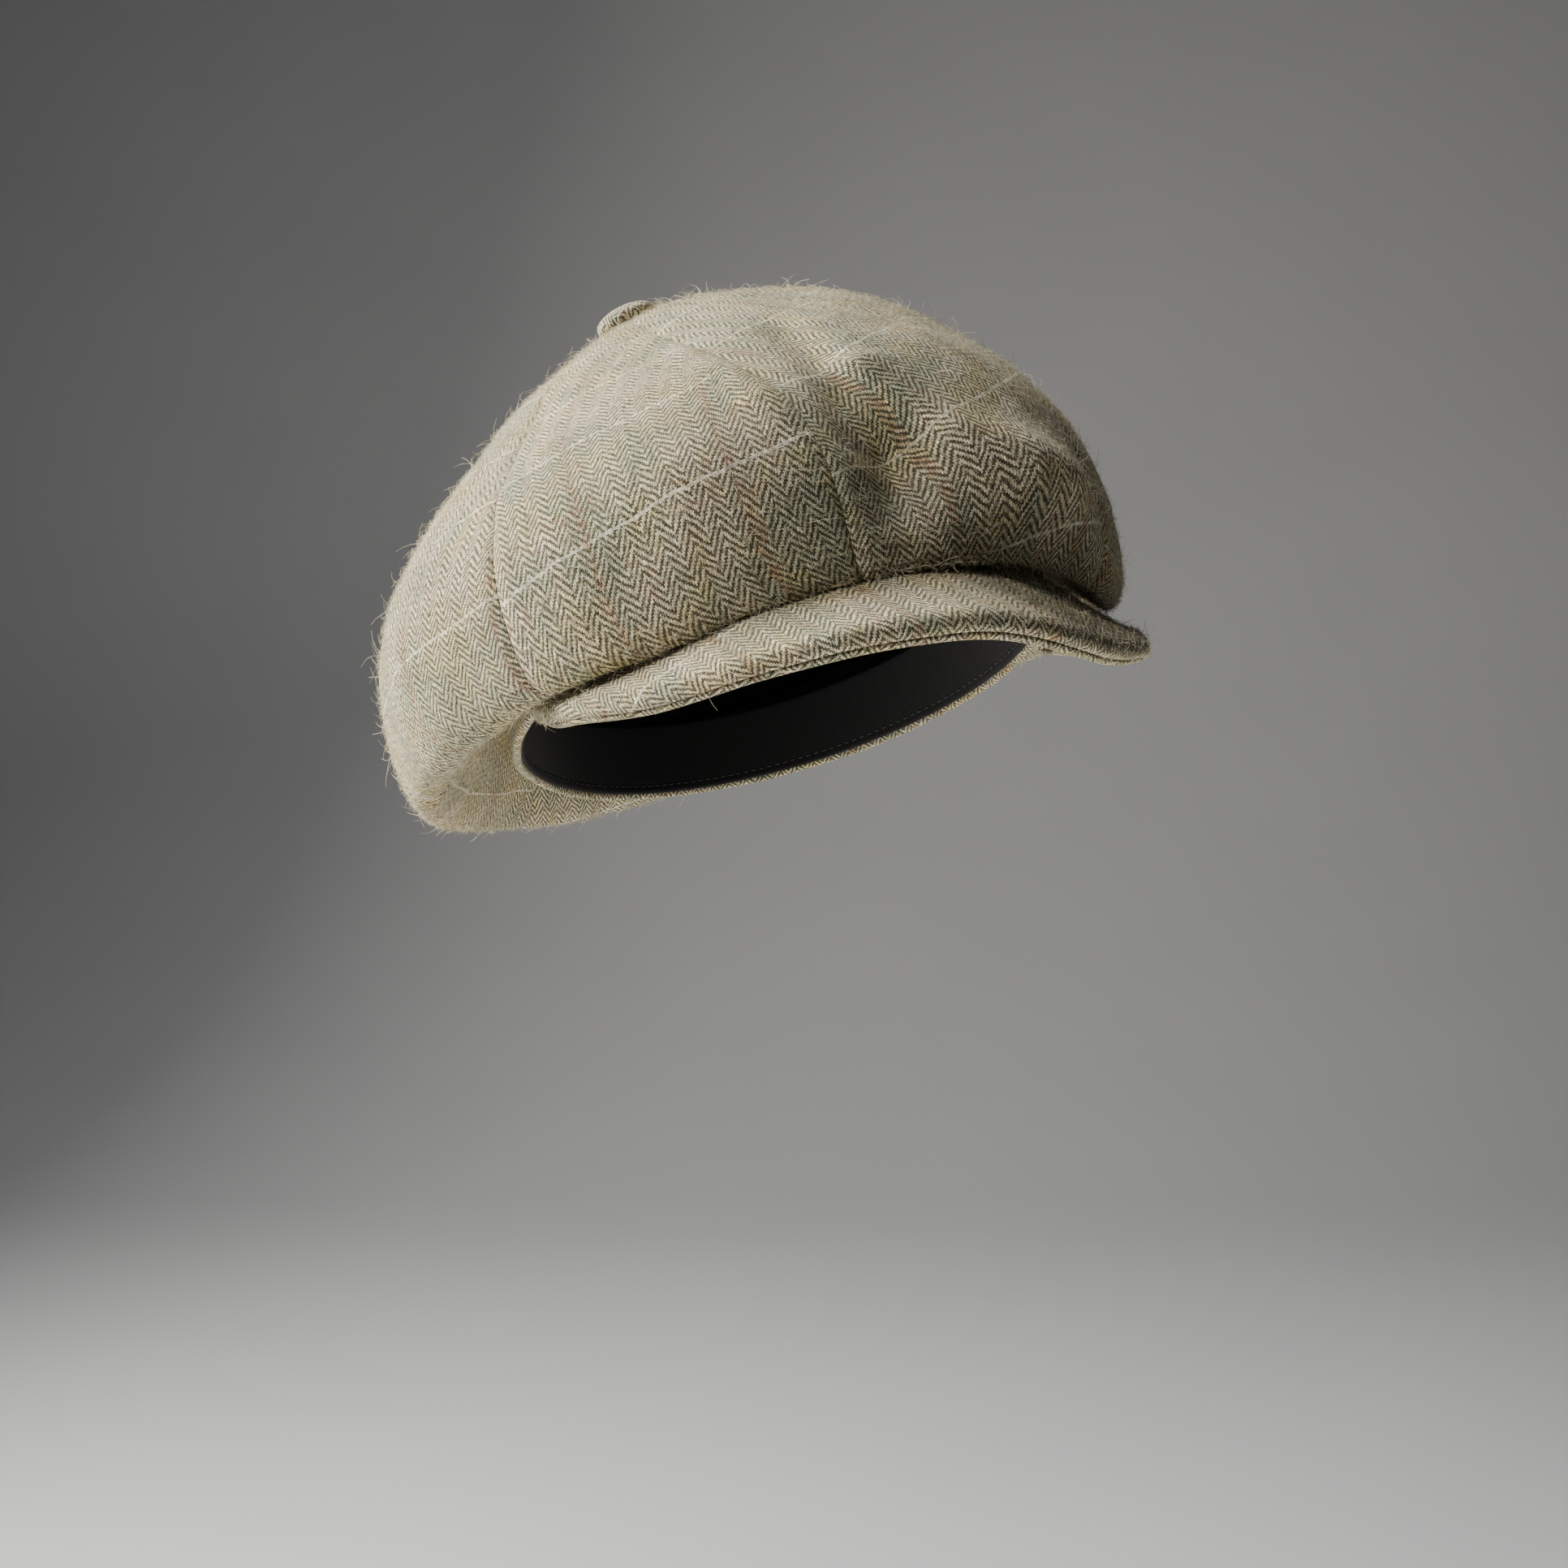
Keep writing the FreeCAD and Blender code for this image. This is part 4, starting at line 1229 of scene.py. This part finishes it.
# %% Bands
def swept_band(name, section, waver, material, columns, rows):
    """Carry a closed section of (outwards, up) points, in mm, round the band's oval."""
    section = np.array(section + section[:1], float) * MM
    reach = running_length(section)
    girth = math.pi * (band_high.x + band_high.y)

    def place(across, along):
        angle = along * 2 * math.pi
        outwards = np.interp(across * reach[-1], reach, section[:, 0])
        up = np.interp(across * reach[-1], reach, section[:, 1])
        ring = np.stack([np.sin(angle), -np.cos(angle), 0 * angle], -1)
        shift = waver * crumple(ring, 0.22, 5.5)
        lift = waver * crumple(ring, 0.31, 9.1) * smooth_step(12 * MM, 0.0, up)
        return oval(
            angle, band_high.x + outwards + shift, band_high.y + outwards + shift, up + lift)

    def weave(across, along):
        return np.stack([along * girth, across * reach[-1]], -1)

    return cloth_piece(name, columns, rows, place, weave, material, 0.0)


def half_round(middle, radius, up, steps=7):
    """Points of a fold that turns under, from the outer face to the inner one."""
    turns = [math.pi * step / steps for step in range(steps + 1)]
    return [(middle + radius * math.cos(turn), up - radius * math.sin(turn)) for turn in turns]


# %% Hat band: from its outer top edge down, round the fold and up inside
BAND_WALL, BAND_TOP = 2.4, 24.0         # millimetres, like every number of both sections
BAND_BELLY = 0.25                       # the folded edge is a little fuller than the wall
band_section = (
    [(0.0, BAND_TOP), (BAND_BELLY, 12.0), (0.1, 4.0)]
    + half_round(-BAND_WALL / 2, BAND_WALL / 2 + BAND_BELLY, 1.3)
    + [(-BAND_WALL, 6.0), (-BAND_WALL, BAND_TOP)])
hat_band = swept_band("folded_hat_band", band_section, 0.5 * MM, TWEED, 64, 420)
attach(hat_band, "cap")
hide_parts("hat_band")
print("hat band faces", len(hat_band.data.polygons))

# %% Sweatband: a rounded lower edge and a furrow for its stitches
tape_out = (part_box("sweatband")[1].x - band_high.x) / MM
TAPE_WALL, TAPE_TOP, FURROW_UP = 0.8, 28.0, 4.3
tape_in = tape_out - TAPE_WALL
tape_section = [
    (tape_out, TAPE_TOP), (tape_out, 1.6), (tape_out - 0.35, 1.05), (tape_in + 0.05, 1.5),
    (tape_in, 3.6), (tape_in + 0.25, FURROW_UP), (tape_in, 5.0), (tape_in, TAPE_TOP)]
sweatband = swept_band(
    "ribbed_sweatband", tape_section, 0.0, RIBBED, 56, 360)
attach(sweatband, "cap")
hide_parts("sweatband")
print("sweatband faces", len(sweatband.data.polygons))

# %% [markdown]
# ## The row of stitches
#
# A long thin thread runs in and out of the tape and shows as a row of dashes.
# A dashed line in the finish would do from afar, but stitches catch the light.
# Each one is a small stretched ball, half sunk in the furrow and tipped at one
# end, as where the thread dives through; all of them share one mesh.

# %% Stitches that hold the sweatband
STITCH_LENGTH, STITCH_PITCH, STITCH_THICK = 2.3 * MM, 3.3 * MM, 0.26 * MM
STITCH_TIP = 0.09       # radians


def lay_stitches():
    """Short raised stitches in the furrow near the sweatband's lower edge."""
    bm = bmesh.new()
    half_width = band_high.x + (tape_in + 0.10) * MM
    half_length = band_high.y + (tape_in + 0.10) * MM
    count = round(math.pi * (half_width + half_length) / STITCH_PITCH)
    for number in range(count):
        angle = 2 * math.pi * number / count
        spot = Vector(oval(np.array(angle), half_width, half_length, FURROW_UP * MM))
        along = Vector((half_width * math.cos(angle), half_length * math.sin(angle), 0))
        turn = along.to_track_quat("X", "Z").to_matrix().to_4x4()
        shape = Matrix.Diagonal((STITCH_LENGTH / 2, STITCH_THICK, STITCH_THICK, 1))
        bmesh.ops.create_uvsphere(
            bm, u_segments=8, v_segments=5, radius=1.0,
            matrix=Matrix.Translation(spot) @ turn @ Matrix.Rotation(STITCH_TIP, 4, "Y") @ shape)
    for face in bm.faces:
        face.smooth = True
    return finished_piece("sweatband_stitches", bm, BLACK_THREAD), count


stitches, stitch_count = lay_stitches()
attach(stitches, "cap")
print("stitches", stitch_count)

# %% [markdown]
# ## The covered button
#
# A covered button is a small metal shell with a disc of the cloth drawn over it
# and caught by a back plate.  It is turned like a bowl, and a few shallow
# puckers run in from the rim, where the disc of cloth was gathered.

# %% Button cover
BUTTON = {      # millimetres, up to the number of its puckers
    "radius": 10.4, "rim": 1.5, "top": 5.9, "cloth": 1.1, "turn_in": 2.2,
    "lift": 0.16, "unevenness": 0.25, "puckers": 13}
BUTTON_CUT = (0.2137, 0.1218)       # the spot of the uncut tweed, in metres, in its middle
DOME_STEPS, ROUND_STEPS = 12, 72


def button_seat():
    """Where the button sits: on the leaning top, over the points of the gores."""
    normal = Vector((-SLOUCH["top_slope"][0], -SLOUCH["top_slope"][1], 1)).normalized()
    tilt = Vector((0, 0, 1)).rotation_difference(normal).to_matrix().to_4x4()
    return Matrix.Translation(Vector(apex) + normal * LAYER_GAP) @ tilt


def button_face(across, along):
    """The button's domed face, for the wool on it."""
    share = np.sqrt(along)
    dome = BUTTON["rim"] + (BUTTON["top"] - BUTTON["rim"]) * np.sqrt(1 - 0.98 * along)
    turn = 2 * math.pi * across
    spots = np.stack([
        BUTTON["radius"] * share * np.cos(turn), BUTTON["radius"] * share * np.sin(turn),
        dome, 1 / MM + 0 * dome], -1) * MM
    return spots @ np.array(button_seat()).T[:, :3]


def button_outline():
    """Half the cover's section: over the dome, round the rim, and back inside."""
    radius, rim, top, cloth = (BUTTON[name] for name in ("radius", "rim", "top", "cloth"))
    turns = [math.pi / 2 * step / DOME_STEPS for step in range(DOME_STEPS + 1)]
    dome = [(radius * math.sin(turn), rim + (top - rim) * math.cos(turn)) for turn in turns]
    rolled_rim = [
        (radius, 1.0), (radius - 0.35, 0.3), (radius - 0.9, 0.02),
        (radius - BUTTON["turn_in"], 0.0), (radius - BUTTON["turn_in"], cloth),
        (radius - cloth, cloth), (radius - cloth, rim)]
    inside = [(x * (1 - cloth / radius), z - cloth) for x, z in reversed(dome[:-2])]
    return dome + rolled_rim + inside


def pucker_button(bm):
    """Gather the cloth towards the rim and make its dome a little uneven."""
    for vertex in bm.verts:
        turn = math.atan2(vertex.co.y, vertex.co.x)
        share = vertex.co.xy.length / (BUTTON["radius"] * MM)
        pucker = math.cos(BUTTON["puckers"] * turn + 1.5 * math.sin(2 * turn)) * share ** 5
        vertex.co.z += BUTTON["lift"] * MM * pucker
        vertex.co.xy *= 1 + 0.012 * pucker
        bump = Vector((0, 0, BUTTON["unevenness"] * MM * share))
        vertex.co += bump * noise.noise(vertex.co / (5 * MM))


def make_button_cover():
    """Turn the cover, lay its weave flat over the dome, and seat it on the crown."""
    bm = bmesh.new()
    corners = [bm.verts.new((x * MM, 0, z * MM)) for x, z in button_outline()]
    edges = [bm.edges.new(pair) for pair in zip(corners[:-1], corners[1:])]
    bmesh.ops.spin(
        bm, geom=corners + edges, cent=(0, 0, 0), axis=(0, 0, 1), dvec=(0, 0, 0),
        angle=2 * math.pi, steps=ROUND_STEPS, use_merge=True, use_duplicate=False)
    bmesh.ops.remove_doubles(bm, verts=bm.verts, dist=1e-6)
    bmesh.ops.recalc_face_normals(bm, faces=bm.faces)
    woven = bm.loops.layers.uv.new("cloth")
    for face in bm.faces:
        face.smooth = True
        for loop in face.loops:
            spot = loop.vert.co
            run = 1 + 0.6 * (BUTTON["top"] * MM - spot.z) / max(spot.xy.length, 2 * MM)
            loop[woven].uv = (spot.x * run + BUTTON_CUT[0], spot.y * run + BUTTON_CUT[1])
    pucker_button(bm)
    bmesh.ops.transform(bm, matrix=button_seat(), verts=bm.verts)
    return finished_piece("covered_button_cloth", bm, TWEED)


button_cloth = make_button_cover()
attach(button_cloth, "cap")
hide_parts("button_cover")
print("button faces", len(button_cloth.data.polygons))

# %% [markdown]
# ## Inside the button
#
# The metal shell, its back plate and the thread that ties them to the crown are
# hidden by the cloth.  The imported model's own pieces have their true shapes, so
# they only need a finish.

# %% Finishes of the hidden parts
HIDDEN_PARTS = {
    "button_shell": STAMPED_METAL, "button_back": STAMPED_METAL, "button_thread": BUTTON_THREAD}
for node, material in HIDDEN_PARTS.items():
    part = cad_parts[node]
    part.data.materials.clear()
    part.data.materials.append(material)
print("hidden parts", len(HIDDEN_PARTS))

# %% [markdown]
# ## Loose wool
#
# Nothing tells wool from a printed cotton like its fuzz: fine fibres stand off
# the surface and catch the light along every edge.  A hair system would vanish
# from the exported model, so each fibre is a short bent line with a thickness,
# rooted in the cloth.  The crown's are turned into four meshes and the brim's and
# button's into one each.  They are few sided, because there are thousands.

# %% Loose fibres
FIBRE_RADIUS = 0.075 * MM
FIBRE_REACH = {"least": 0.14, "more": 0.16, "long": 0.70, "rarity": 24}     # of the longest
FIBRE_CURL = 1.7
FIBRE_RISE = {"least": 0.35, "more": 0.95, "droop": 0.40, "root": 0.06}
FIBRE_TIP = 0.45        # its thickness there, as a share of the root's
fibre_draw = random.Random(11)


def fibre_wool():
    finish = Finish("loose_wool")
    place = finish.node("TexCoord", {}, {}, 3)
    tint = finish.noise(place, 260.0, 2.0, 0.6)
    dark_share = finish.noise(place, 900.0, 1.0)
    colour = finish.mix(tint.ramp(0.35, 0.65), rgb(0.66, 0.58, 0.42), rgb(0.50, 0.46, 0.31))
    colour = finish.mix(dark_share.ramp(0.55, 0.70) * 0.6, colour, rgb(0.22, 0.17, 0.10))
    return finish.shade(
        Base_Color=colour, Roughness=0.85, Specular_IOR_Level=0.15,
        Sheen_Weight=0.4, Sheen_Roughness=0.4, Sheen_Tint=rgb(0.95, 0.88, 0.72))


WOOL = fibre_wool()
print("wool finish", WOOL.name)


# %% Growing them
def fibre_mesh(lines):
    """Turn bent lines into one mesh, with the loose wool's finish."""
    hairs = bpy.data.objects.new(lines.name, lines)
    bpy.context.scene.collection.objects.link(hairs)
    bpy.context.view_layer.update()
    mesh = bpy.data.meshes.new_from_object(
        hairs.evaluated_get(bpy.context.evaluated_depsgraph_get()))
    bpy.data.objects.remove(hairs)
    mesh.name = lines.name
    mesh.materials.clear()
    mesh.materials.append(WOOL)
    return mesh


def grow_fibres(name, skin, count, longest):
    """Bent hairs rooted at random places of a skin given by shares across and along.

    Most of them are short and lie close; about one in twenty is long.
    """
    lines = bpy.data.curves.new(name, "CURVE")
    lines.dimensions = "3D"
    lines.bevel_depth = FIBRE_RADIUS
    lines.bevel_resolution = 0
    lines.use_fill_caps = True
    draws = np.array([[fibre_draw.random() for _ in range(6)] for _ in range(count)])
    across, along = draws[:, 0], draws[:, 1]
    root = skin(across, along)
    beside = skin(across + 0.002, along) - root
    ahead = skin(across, along - 0.004) - root
    normal = unit(np.cross(ahead, beside))
    way = 2 * math.pi * draws[:, 2:3]
    lie = unit(unit(beside) * np.cos(way) + unit(ahead) * np.sin(way))
    curl = np.cross(normal, lie) * (draws[:, 3:4] - 0.5) * FIBRE_CURL
    length = longest * (
        FIBRE_REACH["least"] + FIBRE_REACH["more"] * draws[:, 4:5]
        + FIBRE_REACH["long"] * draws[:, 4:5] ** FIBRE_REACH["rarity"])
    rise = FIBRE_RISE["least"] + FIBRE_RISE["more"] * draws[:, 5:6]
    for number in range(count):
        steps = 3 if draws[number, 4] > 0.95 else 2
        spline = lines.splines.new("POLY")
        spline.points.add(steps)
        for step, point in enumerate(spline.points):
            share = step / steps
            lift = rise[number] * (share - FIBRE_RISE["droop"] * share ** 2) - FIBRE_RISE["root"]
            spot = root[number] + length[number] * (
                lie[number] * share + curl[number] * share ** 2 + normal[number] * lift)
            point.co = (*spot, 1.0)
            point.radius = 1.0 - (1.0 - FIBRE_TIP) * share
    piece = bpy.data.objects.new(name, fibre_mesh(lines))
    bpy.context.scene.collection.objects.link(piece)
    return piece


# %% Wool on the crown, the brim and the button
CROWN_FIBRES, CROWN_LONGEST = 8600, 7.5 * MM        # on each quarter of the crown
BRIM_FIBRES, BRIM_LONGEST = 5000, 6.0 * MM
BUTTON_FIBRES, BUTTON_LONGEST = 500, 4.0 * MM
QUARTERS = {"left_front": 0.0, "left_back": 0.25, "right_back": 0.5, "right_front": 0.75}
WOOLLY_HEIGHTS = (0.03, 0.95)       # the first height with fibres, and how far they go up
for side, start in QUARTERS.items():
    fuzz = grow_fibres(
        "crown_wool_" + side,
        lambda across, along: crown_skin(
            (start + across / len(QUARTERS)) * 2 * math.pi,
            WOOLLY_HEIGHTS[0] + WOOLLY_HEIGHTS[1] * along), CROWN_FIBRES, CROWN_LONGEST)
    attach(fuzz, "cap")
    print(fuzz.name, "faces", len(fuzz.data.polygons))
brim_fuzz = grow_fibres("brim_wool", brim_skin, BRIM_FIBRES, BRIM_LONGEST)
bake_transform(brim_fuzz)
button_fuzz = grow_fibres("button_wool", button_face, BUTTON_FIBRES, BUTTON_LONGEST)
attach(button_fuzz, "cap")
print("brim wool faces", len(brim_fuzz.data.polygons))
